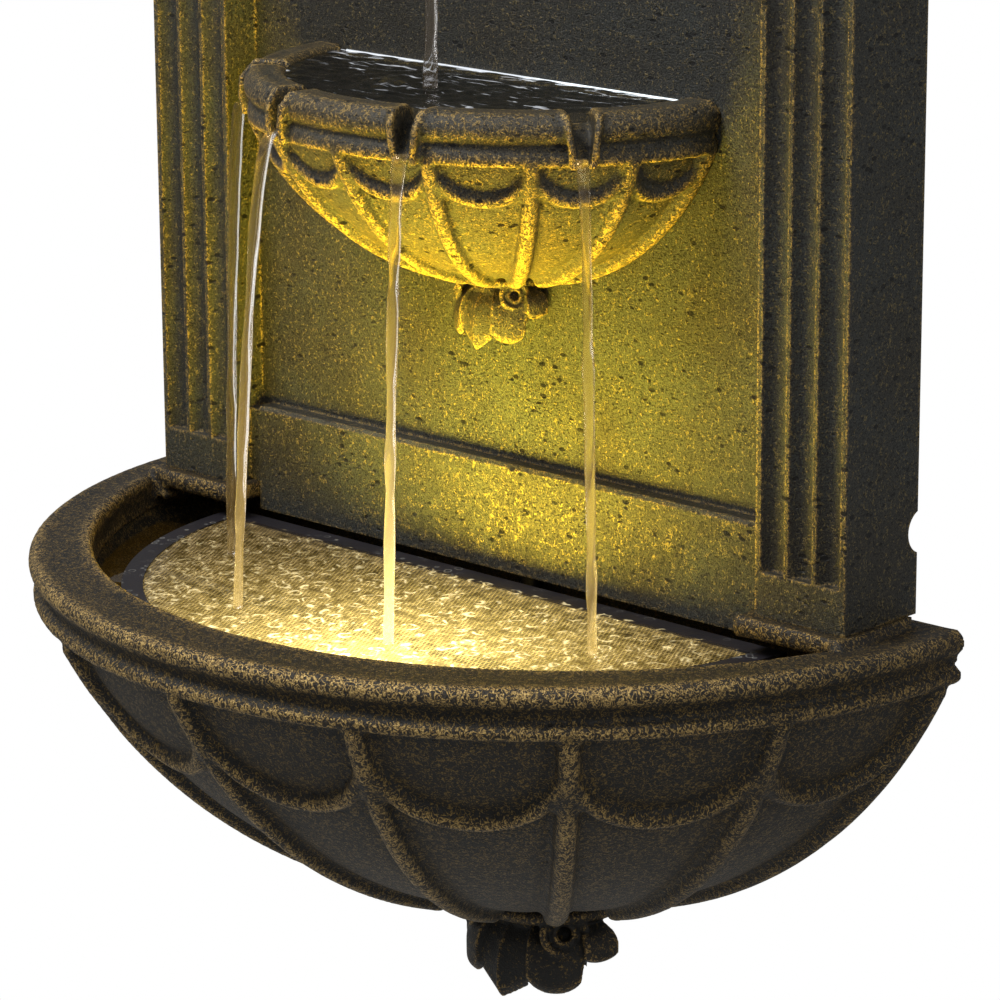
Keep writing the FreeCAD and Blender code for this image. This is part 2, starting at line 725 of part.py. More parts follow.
def leaf_shape(back, top, width, height, depth, collar):
    """A hanging leaf: a collar, a pointed middle lobe, and two broad lobes and a scroll at each side."""
    pieces = []
    for side in (-1, 1):
        pieces.append(lobe(0.86 * height, 0.38 * width, 0.78 * depth,
                           Vector(side * 0.11 * width, back - 0.52 * depth, top),
                           Rotation(Vector(0, 1, 0), -side * 14)))
        pieces.append(lobe(0.68 * height, 0.36 * width, 0.90 * depth,
                           Vector(side * 0.20 * width, back - 0.40 * depth, top),
                           Rotation(Vector(0, 1, 0), -side * 30)))
        pieces.append(Part.makeTorus(0.085 * width, 0.03 * width,
                                     Vector(side * 0.25 * width, back - 0.82 * depth, top - 0.30 * height),
                                     Vector(side * 0.4, -1, 0.2)))
    pieces.append(lobe(0.94 * height, 0.24 * width, 0.80 * depth,
                       Vector(0, back - 0.60 * depth, top), Rotation()))
    tip = Part.makeCone(0.11 * width, 0.015 * width, 0.42 * height,
                        Vector(0, back - 0.66 * depth, top - 0.58 * height), Vector(0, -0.12, -1))
    ring = Part.makeTorus(collar, 0.09 * collar + 1.5, Vector(0, back, top))
    plug = Part.makeCylinder(collar, 0.2 * height, Vector(0, back, top - 0.16 * height))
    shape = pieces[0].fuse(pieces[1:] + [tip, ring, plug])
    room = 4 * height
    return shape.common(Part.makeBox(room, room, room, Vector(-room / 2, back - room, top - room + 4)))


def rosette_shape():
    """A round boss of eight petals on the panel; the spout pipe comes out of its middle."""
    back = panel_front()
    middle = Vector(0, back, size("spout_height"))
    disc = Part.makeCylinder(36, 6, middle, Vector(0, -1, 0))
    petals = []
    for index in range(8):
        turn = Rotation(Vector(0, 1, 0), 45.0 * index)
        petals.append(lobe(34, 22, 18, middle + Vector(0, -4, 0) + turn.multVec(Vector(0, 0, -10)), turn))
    hub = Part.makeCone(19, 13, 14, middle, Vector(0, -1, 0))
    bore = Part.makeCylinder(size("spout_pipe_radius") + 0.3, 60, middle + Vector(0, 20, 0),
                             Vector(0, -1, 0))
    shape = disc.fuse(petals + [hub]).cut(bore)
    return shape.common(Part.makeBox(200, 40, 200, Vector(-100, back - 40, size("spout_height") - 100)))


def spout_pipe():
    """The brass pipe through the rosette and the panel, with a collar against the rosette."""
    outer = rod("spout_outer", "Sizes.spout_pipe_radius", "Sizes.spout_reach - 17",
                ("0", "-17", "Sizes.spout_height"), "-Y")
    flange = rod("spout_flange", "Sizes.spout_pipe_radius + 4", "3",
                 ("0", PANEL_FRONT + " - 14.05", "Sizes.spout_height"), "-Y")
    bore = rod("spout_bore", "Sizes.spout_pipe_radius - 1.8", "Sizes.spout_reach",
               ("0", "-10", "Sizes.spout_height"), "-Y")
    return cut("spout_pipe", fuse("spout_tube", [outer, flange]), [bore])


def ring_node(name, inner, outer, length, at, turn="+Z"):
    """A plain ring."""
    return cut(name, rod(name + "_body", outer, length, at, turn),
               [rod(name + "_hole", inner, length, at, turn)])


def hexagon_nut(name, flats, hole, length, at, turn):
    body = DOC.addObject("Part::Prism", name + "_hexagon")
    body.Polygon = 6
    body.setExpression("Circumradius", "(%s) / 2 / cos(30 deg)" % flats)
    body.setExpression("Height", length)
    place(body, at, turn)
    return cut(name, body, [rod(name + "_thread", hole, length, at, turn)])


def hose_path():
    """The hose's middle line: up off the pump, an easy double bend to the back, and up to the spout."""
    front = -size("outlet_front")
    back = -size("hose_depth")
    bend = size("hose_bend")
    start = size("basin_floor") + size("cup_height") + size("pump_height") + 7.0
    turn = math.acos(1 - (back - front) / (2 * bend))
    rise = bend * math.sin(turn)
    first = Vector(0, front, start)
    low = Vector(0, front, start + 14.0)
    centre = low + Vector(0, bend, 0)
    half_way = Vector(0, (front + back) / 2, low.z + rise)
    middle = centre + Vector(0, -bend * math.cos(turn / 2), bend * math.sin(turn / 2))
    high = Vector(0, back, low.z + 2 * rise)
    upper_centre = high + Vector(0, -bend, 0)
    upper_middle = upper_centre + Vector(0, bend * math.cos(turn / 2), -bend * math.sin(turn / 2))
    last = Vector(0, back, size("spout_height") - 11.0)
    edges = [Part.LineSegment(first, low).toShape(),
             Part.Arc(low, middle, half_way).toShape(),
             Part.Arc(half_way, upper_middle, high).toShape(),
             Part.LineSegment(high, last).toShape()]
    return edges, first


def hose_shape():
    edges, first = hose_path()
    path = Part.Wire(edges)
    rounds = []
    for radius in (size("hose_radius"), size("hose_bore")):
        ring = Part.Wire(Part.makeCircle(radius, first, Vector(0, 0, 1)))
        rounds.append(path.makePipeShell([ring], True, True))
    shape = rounds[0].cut(rounds[1])
    area = math.pi * (size("hose_radius") ** 2 - size("hose_bore") ** 2)
    print("hose volume %.0f, section times length %.0f, bend radius %.0f"
          % (shape.Volume, area * path.Length, size("hose_bend")))
    return shape


def clamp_ring(centre, ear_start):
    """A spring clamp on the hose: a band with two small ears that start ear_start behind its middle."""
    inner = size("hose_radius") + size("fit_gap")
    band = Part.makeCylinder(inner + 1.2, 8, centre + Vector(0, 0, -4))
    for side in (-1, 1):
        band = band.fuse(Part.makeBox(1.6, 5, 8, centre + Vector(side * 1.6 - 0.8, ear_start, -4)))
    return band.cut(Part.makeCylinder(inner, 10, centre + Vector(0, 0, -5)))


def hose_clamps():
    """One clamp at each end; the lower one's ears face the front, the upper one's the wall."""
    edges, first = hose_path()
    last = edges[-1].Vertexes[-1].Point
    reach = size("hose_radius") + 0.25
    return Part.makeCompound([clamp_ring(first + Vector(0, 0, 8), -reach - 5),
                              clamp_ring(last - Vector(0, 0, 10), reach)])


def hose_clips():
    """Two saddles that hold the hose to the back of the panel."""
    back = -(size("board_depth") - size("panel_recess") - size("panel_wall"))
    inner = size("hose_radius") + size("fit_gap")
    saddles = []
    for height in (110.0, 270.0):
        centre = Vector(0, -size("hose_depth"), height)
        ring = Part.makeCylinder(inner + 2, 12, centre)
        foot = Part.makeBox(34, 3.0, 12, Vector(-17, back, height))
        saddles.append(ring.fuse(foot).cut(Part.makeCylinder(inner, 14, centre - Vector(0, 0, 1))))
    return Part.makeCompound(saddles)


# Pump, on the flat floor of the basin
PUMP_BASE = "Sizes.basin_floor + Sizes.cup_height"
PUMP_TOP = PUMP_BASE + " + Sizes.pump_height"
PUMP_MIDDLE = PUMP_BASE + " + Sizes.pump_height / 2"
PUMP_BACK = "-Sizes.pump_front + Sizes.pump_depth"


def pump_body():
    """A rounded housing with the impeller's chamber and well bored from the front, and its outlet."""
    body = DOC.addObject("PartDesign::Body", "pump_housing")
    half = "Sizes.pump_width / 2"
    base = outline_sketch(body, "pump_plan", "XY_Plane", [
        ("-(%s)" % half, "-Sizes.pump_front"),
        (half, "-Sizes.pump_front"),
        (half, PUMP_BACK),
        ("-(%s)" % half, PUMP_BACK),
    ], raised=PUMP_BASE)
    block_pad = pad(body, base, "Sizes.pump_height")
    DOC.recompute()
    upright = ["Edge%d" % (i + 1) for i, edge in enumerate(block_pad.Shape.Edges)
               if abs(edge.tangentAt(edge.FirstParameter).z) > 0.9
               and edge.Vertexes[0].Point.y > -size("pump_front") + 1]
    fillet = body.newObject("PartDesign::Fillet", "pump_corners")
    fillet.Base = (block_pad, upright)
    fillet.Radius = 9.0
    body.Tip = fillet
    outlet = [rod("outlet_collar", "8", "5", ("0", "-Sizes.outlet_front", PUMP_TOP)),
              rod("outlet_barb", "Sizes.hose_bore - Sizes.fit_gap", "20",
                  ("0", "-Sizes.outlet_front", PUMP_TOP))]
    tools = [rod("chamber", "17", "14", ("0", "-Sizes.pump_front + 14", PUMP_MIDDLE), "-Y"),
             rod("rotor_well", "9.3", "38", ("0", "-Sizes.pump_front + 38", PUMP_MIDDLE), "-Y"),
             rod("shaft_seat", "Sizes.shaft_radius", "41",
                 ("0", "-Sizes.pump_front + 41", PUMP_MIDDLE), "-Y"),
             rod("outlet_bore", "3.6", "36", ("0", "-Sizes.outlet_front", PUMP_MIDDLE + " + 10"))]
    return cut("pump_body", fuse("pump_casing", [body] + outlet), tools)


def pump_cover():
    """The intake cover: a slotted plate that pulls off the front of the pump."""
    body = DOC.addObject("PartDesign::Body", "pump_cover")
    half = "Sizes.pump_width / 2"
    plate = outline_sketch(body, "cover_outline", "XZ_Plane", [
        ("-(%s)" % half, PUMP_BASE),
        (half, PUMP_BASE),
        (half, PUMP_TOP),
        ("-(%s)" % half, PUMP_TOP),
    ], raised="Sizes.pump_front + 0.05")
    pad(body, plate, "6")
    for index in range(7):
        if index == 3:
            continue
        middle = "(%d * 7)" % (index - 3)
        slot = outline_sketch(body, "intake_slot_%d" % index, "XZ_Plane", [
            (middle + " - 2", PUMP_BASE + " + 8"),
            (middle + " + 2", PUMP_BASE + " + 8"),
            (middle + " + 2", PUMP_TOP + " - 8"),
            (middle + " - 2", PUMP_TOP + " - 8"),
        ], raised="Sizes.pump_front - 1")
        pocket(body, slot, "10", reverse=True)
    seat = circle_sketch(body, "shaft_bearing", "XZ_Plane", [("0", PUMP_MIDDLE)],
                         "Sizes.shaft_radius + Sizes.fit_gap", raised="Sizes.pump_front - 1")
    pocket(body, seat, "5", reverse=True)
    knob_hole = circle_sketch(body, "knob_hole", "XZ_Plane", [("0", PUMP_TOP + " - 6")],
                              "2.05", raised="Sizes.pump_front - 1")
    body.Tip = pocket(body, knob_hole, "10", reverse=True)
    return body


def pump_knob():
    """The flow control: a small wing on a pin."""
    height = PUMP_TOP + " - 6"
    pin = rod("knob_pin", "2", "9", ("0", "-Sizes.pump_front - 1.5", height), "-Y")
    dial = rod("knob_dial", "5.5", "3.5", ("0", "-Sizes.pump_front - 6.4", height), "-Y")
    wing = block("knob_wing", ("-1.2", "1.2"), ("-Sizes.pump_front - 13", "-Sizes.pump_front - 9"),
                 (height + " - 5", height + " + 5"))
    return fuse("pump_knob", [pin, dial, wing])


def pump_impeller():
    """Six straight blades on a disc, carried by the magnet rotor."""
    front = "-Sizes.pump_front + 2"
    disc = rod("impeller_disc", "14.5", "2", ("0", front + " + 10", PUMP_MIDDLE), "-Y")
    hub = rod("impeller_hub", "4", "9", ("0", front + " + 10", PUMP_MIDDLE), "-Y")
    blades = []
    for index in range(6):
        blade = DOC.addObject("Part::Box", "blade")
        blade.Length = 11
        blade.Width = 9
        blade.Height = 1.6
        turn = Rotation(Vector(0, 1, 0), 60.0 * index)
        blade.Placement = Placement(Vector(), turn)
        shift = turn.multVec(Vector(3.2, 0, -0.8))
        for axis, base, offset in zip("xyz", ("0", front, PUMP_MIDDLE), shift):
            blade.setExpression("Placement.Base." + axis, "%s + %.4f" % (base, offset))
        blades.append(blade)
    bore = rod("impeller_bore", "Sizes.shaft_radius + Sizes.fit_gap", "14",
               ("0", front + " + 12", PUMP_MIDDLE), "-Y")
    return cut("pump_impeller", fuse("impeller_blank", [disc, hub] + blades), [bore])


def pump_magnet():
    back = "-Sizes.pump_front + 36"
    return ring_node("pump_magnet", "Sizes.shaft_radius + Sizes.fit_gap", "8.9", "24",
                     ("0", back, PUMP_MIDDLE), "-Y")


def suction_cup(name, across, front, foot, radius, height):
    """A rubber cup, drawn as its outline turned about an upright axis."""
    return turned(name, [("0", "0.8"), (radius, "0"), (radius, "0.9"),
                         ("(%s) * 0.45" % radius, "(%s) * 0.55" % height),
                         ("(%s) * 0.45" % radius, height), ("0", height)], (across, front, foot))


def pump_cups():
    cups = []
    for side in (-1, 1):
        for front in ("-Sizes.pump_front + 10", PUMP_BACK + " - 10"):
            cups.append(suction_cup("cup", "%d * (Sizes.pump_width / 2 - 10)" % side, front,
                                    "Sizes.basin_floor", "8", "Sizes.cup_height"))
    return group("pump_cups", cups)


# Screen: a half-round frame on four legs, with a perforated sheet let into it
def half_disc(name, radius, back, low, high):
    """A disc about the screen's centre, cut straight at the back."""
    disc = rod(name + "_disc", radius, "(%s) - (%s)" % (high, low), ("0", "-Sizes.screen_centre", low))
    keep = block(name + "_keep", ("-Sizes.screen_radius - 5", "Sizes.screen_radius + 5"),
                 ("-2 * Sizes.screen_radius", back), (low, high))
    obj = DOC.addObject("Part::MultiCommon", name)
    obj.Shapes = [disc, keep]
    return obj


def screen_frame():
    """The moulded frame: a rim, two cross bars, four legs and a rounded back edge that it tips on."""
    top = "Sizes.screen_top"
    low = "Sizes.screen_top - Sizes.screen_thick"
    sheet_low = "Sizes.screen_top - Sizes.mesh_thick - 0.6"
    outer = half_disc("frame_blank", "Sizes.screen_radius", "-Sizes.screen_back", low, top)
    recess = half_disc("frame_recess", "Sizes.screen_radius - Sizes.screen_rim",
                       "-Sizes.screen_back - Sizes.screen_rim", sheet_low, top)
    light = half_disc("frame_light", "Sizes.screen_radius - Sizes.screen_rim - 4",
                      "-Sizes.screen_back - Sizes.screen_rim - 4", low, sheet_low)
    legs = []
    bars = []
    for row in ("front", "end"):
        depth = "-Sizes.%s_leg_front" % row
        foot = "Sizes.%s_leg_foot" % row
        for side in (-1, 1):
            x = "%d * Sizes.%s_leg_side" % (side, row)
            legs.append(rod("leg", "Sizes.leg_radius", "%s - %s" % (sheet_low, foot), (x, depth, foot)))
            legs.append(block("leg_boss", (x + " - 5", x + " + 5"), (depth + " - 5", depth + " + 5"),
                              (low, sheet_low)))
        bars.append(block("cross_bar", ("-Sizes.screen_radius", "Sizes.screen_radius"),
                          (depth + " - 4", depth + " + 4"), (low, sheet_low)))
    ring = cut("frame_ring", outer, [recess, light])
    trimmed = DOC.addObject("Part::MultiCommon", "bars_trimmed")
    trimmed.Shapes = [fuse("bars", bars),
                      half_disc("bar_limit", "Sizes.screen_radius - 2", "-Sizes.screen_back - 2",
                                low, sheet_low)]
    edge = rod("tipping_edge", "Sizes.screen_thick / 2", "2 * Sizes.screen_radius - 2",
               ("1 - Sizes.screen_radius", "-Sizes.screen_back", "Sizes.screen_top - Sizes.screen_thick / 2"),
               "+X")
    return fuse("screen_frame", [ring, trimmed, edge] + legs)


def screen_mesh():
    low = "Sizes.screen_top - Sizes.mesh_thick - 0.6 + 0.1"
    return half_disc("screen_mesh", "Sizes.screen_radius - Sizes.screen_rim - 0.3",
                     "-Sizes.screen_back - Sizes.screen_rim - 0.3", low, low + " + Sizes.mesh_thick")


# Lamp: a small sunk spotlight that tilts in a bracket on a suction cup
LAMP_X = "Sizes.lamp_side"
LAMP_Y = "-Sizes.lamp_front"
LAMP_FOOT = "Sizes.lamp_pad_top"
PIVOT = LAMP_FOOT + " + 39"


def lamp_bracket():
    foot = rod("bracket_foot", "15", "2.5", (LAMP_X, LAMP_Y, LAMP_FOOT + " + 7"))
    bar = block("bracket_bar",
                (LAMP_X + " - Sizes.lamp_radius - 4.5", LAMP_X + " + Sizes.lamp_radius + 4.5"),
                (LAMP_Y + " - 5", LAMP_Y + " + 5"), (LAMP_FOOT + " + 7", LAMP_FOOT + " + 9.5"))
    parts = [foot, bar]
    holes = []
    for side in (-1, 1):
        near = LAMP_X + " + %d * (Sizes.lamp_radius + 2)" % side
        far = LAMP_X + " + %d * (Sizes.lamp_radius + 4.5)" % side
        across = (near, far) if side > 0 else (far, near)
        parts.append(block("bracket_arm", across, (LAMP_Y + " - 5", LAMP_Y + " + 5"),
                           (LAMP_FOOT + " + 7", PIVOT)))
        parts.append(rod("arm_eye", "5", "2.5", (across[0], LAMP_Y, PIVOT), "+X"))
        holes.append(rod("pivot_hole", "2.05", "2.5", (across[0], LAMP_Y, PIVOT), "+X"))
    return cut("lamp_bracket", fuse("bracket_blank", parts), holes)


def lamp_head():
    """A cup-shaped housing with its two pivot pins, open on top for the board and the lens."""
    low = PIVOT + " - 13"
    shell = rod("lamp_shell", "Sizes.lamp_radius", "24", (LAMP_X, LAMP_Y, low))
    pins = rod("lamp_pins", "2", "2 * Sizes.lamp_radius + 9",
               (LAMP_X + " - Sizes.lamp_radius - 4.5", LAMP_Y, PIVOT), "+X")
    room = rod("lamp_room", "Sizes.lamp_radius - 3", "14", (LAMP_X, LAMP_Y, low + " + 10.5"))
    return cut("lamp_head", fuse("lamp_blank", [shell, pins]), [room])


def lamp_board():
    """The round board with six emitters in a ring."""
    low = PIVOT + " - 2.5"
    plate = rod("board_plate", "Sizes.lamp_radius - 3.1", "1.6", (LAMP_X, LAMP_Y, low))
    chips = []
    for index in range(6):
        turn = math.radians(60 * index)
        x = "%s + %.3f" % (LAMP_X, 11 * math.cos(turn))
        y = "%s + %.3f" % (LAMP_Y, 11 * math.sin(turn))
        chips.append(rod("emitter", "2.5", "1", (x, y, low + " + 1.6")))
    return fuse("lamp_board", [plate] + chips)


# Wall fixings
def hanger_plates():
    """Steel keyhole plates on the back, one behind each side."""
    plates = []
    for side in (-1, 1):
        middle = "%d * Sizes.hanger_spacing / 2" % side
        height = "Sizes.hanger_height + 4"
        plate = block("keyhole_plate", (middle + " - 17", middle + " + 17"), ("-2", "0"),
                      (height + " - 27", height + " + 27"))
        tools = [rod("keyhole", "6", "2", (middle, "0", "Sizes.hanger_height"), "-Y"),
                 block("keyhole_slot", (middle + " - 2.6", middle + " + 2.6"), ("-2", "0"),
                       ("Sizes.hanger_height", "Sizes.hanger_height + 13")),
                 rod("slot_end", "2.6", "2", (middle, "0", "Sizes.hanger_height + 13"), "-Y")]
        for up in (-1, 1):
            tools.append(turned("countersink", [
                ("0", "0"), ("Sizes.screw_radius + 2", "0"), ("Sizes.screw_radius + 0.05", "1.95"),
                ("Sizes.screw_radius + 0.05", "2"), ("0", "2"),
            ], (middle, "0", height + " + %d * 21" % up), "-Y"))
        plates.append(cut("plate", plate, tools))
    return group("hanger_plates", plates)


def hanger_screws():
    """Countersunk screws, their heads level with the plates' face."""
    screws = []
    radius = "Sizes.screw_radius"
    for side in (-1, 1):
        for up in (-1, 1):
            screws.append(turned("screw", [
                ("0", "0"), (radius + " + 1.8", "0"), (radius, "1.8"), (radius, "10"), ("0", "11.5"),
            ], ("%d * Sizes.hanger_spacing / 2" % side, "-0.1",
                "Sizes.hanger_height + 4 + %d * 21" % up), "-Y"))
    return group("hanger_screws", screws)


def bowl_fixings():
    """Two bolts through the panel into brass inserts in the upper bowl's back, with washers."""
    bolts, washers, inserts = [], [], []
    radius = "Sizes.bolt_radius"
    for side in (-1, 1):
        across = "%d * Sizes.bolt_spacing / 2" % side
        height = "Sizes.bolt_height"
        washer_back = PANEL_BACK + " + 1.65"
        head = DOC.addObject("Part::Prism", "bolt_head")
        head.Polygon = 6
        head.setExpression("Circumradius", radius + " * 1.667 / cos(30 deg)")
        head.setExpression("Height", "4")
        place(head, (across, washer_back + " + 0.02", height), "+Y")
        shank = rod("bolt_shank", radius, "20", (across, washer_back + " + 0.02", height), "-Y")
        bolts.append(fuse("bolt", [head, shank]))
        washers.append(ring_node("washer", radius + " + 0.2", radius + " * 2.1", "1.6",
                                 (across, washer_back, height), "-Y"))
        inserts.append(ring_node("insert", radius + " + 0.02", radius + " + 1.45", "12",
                                 (across, PANEL_FRONT, height), "-Y"))
    return [group("bowl_bolts", bolts), group("bowl_washers", washers), group("bowl_inserts", inserts)]


def spout_elbow():
    """The black elbow behind the panel: a socket on the pipe and a barb for the hose."""
    socket = rod("elbow_socket", "10.5", "13", ("0", "-Sizes.hose_depth + 8", "Sizes.spout_height"), "-Y")
    barb = rod("elbow_barb", "Sizes.hose_bore - Sizes.fit_gap", "32",
               ("0", "-Sizes.hose_depth", "Sizes.spout_height - 32"))
    seat = rod("elbow_seat", "Sizes.spout_pipe_radius + 0.02", "5",
               ("0", "-16.98", "Sizes.spout_height"), "-Y")
    way = rod("elbow_way", "4", "8", ("0", "-Sizes.hose_depth + 3", "Sizes.spout_height"), "-Y")
    bore = rod("elbow_bore", "3.6", "36", ("0", "-Sizes.hose_depth", "Sizes.spout_height - 34"))
    return cut("spout_elbow", fuse("elbow_blank", [socket, barb]), [seat, way, bore])


def leaf_under(bowl, name, *measures):
    """A leaf ornament, its top fitted to the underside of the bowl above it."""
    return solid_node(name, leaf_shape(*measures).cut(bowl.Shape))


NODES = [basin, upper_bowl, backboard(), solid_node("cornice", cornice_shape())]
NODES += [
    leaf_under(basin, "basin_leaf", -1.0, -190.0, 100.0, 60.0, 42.0, 40.0),
    leaf_under(upper_bowl, "bowl_leaf", panel_front(), 140.0, 56.0, 38.0, 20.0, 24.0),
    solid_node("rosette", rosette_shape()),
    spout_pipe(),
    ring_node("spout_washer", "Sizes.spout_pipe_radius + 0.1", "13", "1.5",
              ("0", PANEL_BACK + " + 1.5", "Sizes.spout_height"), "-Y"),
    hexagon_nut("spout_nut", "22", "Sizes.spout_pipe_radius + 0.05", "3",
                ("0", PANEL_BACK + " + 4.6", "Sizes.spout_height"), "-Y"),
    spout_elbow(),
    solid_node("hose", hose_shape()),
    solid_node("hose_clamps", hose_clamps()),
    solid_node("hose_clips", hose_clips()),
]
NODES += [
    pump_body(),
    pump_cover(),
    pump_knob(),
    pump_impeller(),
    pump_magnet(),
    rod("pump_shaft", "Sizes.shaft_radius", "43.5",
        ("0", "-Sizes.pump_front + 40.5", PUMP_MIDDLE), "-Y"),
    pump_cups(),
    ring_node("pump_gland", "2.6", "4.5", "8",
              ("Sizes.pump_width / 2", PUMP_BACK + " - 12", PUMP_TOP + " - 9"), "+X"),
]
NODES += [
    screen_frame(),
    screen_mesh(),
    suction_cup("lamp_cup", LAMP_X, LAMP_Y, LAMP_FOOT, "15", "7"),
    lamp_bracket(),
    lamp_head(),
    rod("lamp_lens", "Sizes.lamp_radius - 3.05", "3", (LAMP_X, LAMP_Y, PIVOT + " + 7")),
    lamp_board(),
    ring_node("lamp_gland", "2.2", "4", "6", (LAMP_X, LAMP_Y, PIVOT + " - 19")),
]
NODES += [hanger_plates(), hanger_screws()]
NODES += bowl_fixings()

# Check every object and write one file per sub-part
DOC.recompute()
for obj in DOC.Objects:
    faults = [word for word in obj.State if word in ("Invalid", "Error")]
    if faults:
        raise RuntimeError("%s is %s" % (obj.Label, faults))
os.makedirs("parts", exist_ok=True)
for node in NODES:
    if node.Shape.isNull() or not node.Shape.isValid() or not node.Shape.Solids:
        raise RuntimeError("%s has no valid solid" % node.Label)
    node.Shape.exportStep("parts/%s.step" % node.Label)
    print("%-15s %8.1f cm3  %d solid(s)  %d faces" % (
        node.Label, node.Shape.Volume / 1000, len(node.Shape.Solids), len(node.Shape.Faces)))
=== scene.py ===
import math

import bpy
import numpy as np
from mathutils import Matrix, Vector, noise


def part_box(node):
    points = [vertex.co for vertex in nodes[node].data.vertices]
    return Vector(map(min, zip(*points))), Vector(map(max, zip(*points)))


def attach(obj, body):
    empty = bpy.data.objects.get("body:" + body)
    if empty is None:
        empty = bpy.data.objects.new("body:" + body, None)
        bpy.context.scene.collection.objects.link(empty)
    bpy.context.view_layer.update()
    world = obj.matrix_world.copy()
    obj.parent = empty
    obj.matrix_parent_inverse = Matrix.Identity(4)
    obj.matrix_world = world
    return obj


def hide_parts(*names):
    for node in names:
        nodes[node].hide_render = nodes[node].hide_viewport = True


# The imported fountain: +Z is up, the wall is the plane y = 0 and the fountain stands towards -Y.
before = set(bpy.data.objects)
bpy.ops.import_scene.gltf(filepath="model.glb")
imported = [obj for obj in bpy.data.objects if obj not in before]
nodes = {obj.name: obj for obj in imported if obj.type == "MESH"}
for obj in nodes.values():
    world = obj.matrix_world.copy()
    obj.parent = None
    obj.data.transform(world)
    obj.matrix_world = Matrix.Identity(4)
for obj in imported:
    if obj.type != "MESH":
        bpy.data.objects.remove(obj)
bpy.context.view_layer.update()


# Camera: well to the right of the fountain and a little above it, on a long lens, looking down at
# the lower basin. The top of the backboard is out of the picture.
view_azimuth = math.radians(43.449)
view_height = math.radians(15.303)
view_roll = math.radians(-0.334)
view_target = Vector((0.01432, -0.05545, 0.02699))
view_distance = 2.16084
camera_data = bpy.data.cameras.new("camera")
camera_data.sensor_width = 36.0
camera_data.lens = 154.0
camera_data.clip_end = 50.0
camera = bpy.data.objects.new("camera", camera_data)
bpy.context.scene.collection.objects.link(camera)
turn = (Matrix.Rotation(view_azimuth, 4, "Z") @ Matrix.Rotation(math.pi / 2 - view_height, 4, "X")
        @ Matrix.Rotation(view_roll, 4, "Z"))
view_point = view_target + turn.to_3x3() @ Vector((0, 0, view_distance))
camera.matrix_world = Matrix.Translation(view_point) @ turn
bpy.context.scene.camera = camera


# Lower basin: a half-round bowl of filled polyester resin, cast in a rubber mould, painted
# near-black and dry-brushed with dull gold, which catches on the grains that stand proud and most
# on the ribs, the swags and the rim. The skin is sandy, with small air pits, and no corner is sharp.
def srgb(code):
    """A hex colour as linear red, green, blue and alpha."""
    parts = [int(code[i:i + 2], 16) / 255 for i in (1, 3, 5)]
    return [p / 12.92 if p <= 0.04045 else ((p + 0.055) / 1.055) ** 2.4 for p in parts] + [1.0]


def add(tree, kind, settings=None, **links):
    """Adds a node; a setting is an input's value or a property, and a link feeds the named input."""
    node = tree.nodes.new(kind)
    for key, value in (settings or {}).items():
        if key in node.inputs:
            node.inputs[key].default_value = value
        else:
            setattr(node, key, value)
    for key, output in links.items():
        tree.links.new(output, node.inputs[key.replace("_", " ")])
    return node


def sums(tree, operation, a, b=0.0):
    """One arithmetic node; a and b are outputs or numbers."""
    node = add(tree, "ShaderNodeMath", {"operation": operation})
    for socket, item in zip(node.inputs, (a, b)):
        if isinstance(item, (int, float)):
            socket.default_value = item
        else:
            tree.links.new(item, socket)
    return node.outputs[0]


def step(tree, value, low, high):
    """0 at low and 1 at high, even between them and flat beyond; low may be the larger of the two."""
    return add(tree, "ShaderNodeMapRange", {"From Min": low, "From Max": high}, Value=value).outputs[0]


def blended(tree, factor, a, b):
    """Colour a changing to colour b by a factor; each colour is an output or a hex code."""
    node = add(tree, "ShaderNodeMix", {"data_type": "RGBA"})
    # a Mix node takes its two colours at sockets 6 and 7 and gives its colour at socket 2
    for socket, item in zip((node.inputs[0], node.inputs[6], node.inputs[7]), (factor, a, b)):
        if isinstance(item, str):
            socket.default_value = srgb(item)
        else:
            tree.links.new(item, socket)
    return node.outputs[2]


def new_material(name):
    material = bpy.data.materials.new(name)
    material.use_nodes = True
    return material, material.node_tree, material.node_tree.nodes["Principled BSDF"]


def own_place(tree):
    """The object's own coordinates, in metres."""
    return add(tree, "ShaderNodeTexCoord").outputs["Object"]


def stretched(tree, x=1.0, y=1.0, z=1.0):
    """The object's own coordinates, multiplied along each axis."""
    return add(tree, "ShaderNodeMapping", {"Scale": (x, y, z)}, Vector=own_place(tree)).outputs[0]


def lumps(tree, scale, detail, at, **settings):
    """A noise over the coordinates at, with about as many lumps to a metre as scale says."""
    settings = {"Scale": scale, "Detail": detail, **settings}
    return add(tree, "ShaderNodeTexNoise", settings, Vector=at).outputs["Fac"]


def from_nearest(tree, scale, at, **settings):
    """How far, in cells, the nearest of scattered points is, with one point to a cell and as many
    cells to a metre as scale says."""
    settings = {"Scale": scale, **settings}
    return add(tree, "ShaderNodeTexVoronoi", settings, Vector=at).outputs["Distance"]


def bumpy(tree, shader, height, strength, depth):
    """Gives the shader a surface as uneven as height, which stands for a depth in metres."""
    bump = add(tree, "ShaderNodeBump", {"Strength": strength, "Distance": depth}, Height=height)
    tree.links.new(bump.outputs["Normal"], shader.inputs["Normal"])
    return bump


def edge_wear(tree):
    """1 at a sharp edge and 0 on a flat, by how far the edge's normal would turn if it were rounded."""
    rounded = add(tree, "ShaderNodeBevel", {"Radius": 0.0035, "samples": 6})
    flat = add(tree, "ShaderNodeNewGeometry")
    turned = add(tree, "ShaderNodeVectorMath", {"operation": "DOT_PRODUCT"})
    tree.links.new(rounded.outputs[0], turned.inputs[0])
    tree.links.new(flat.outputs["Normal"], turned.inputs[1])
    return step(tree, turned.outputs["Value"], 0.995, 0.80)


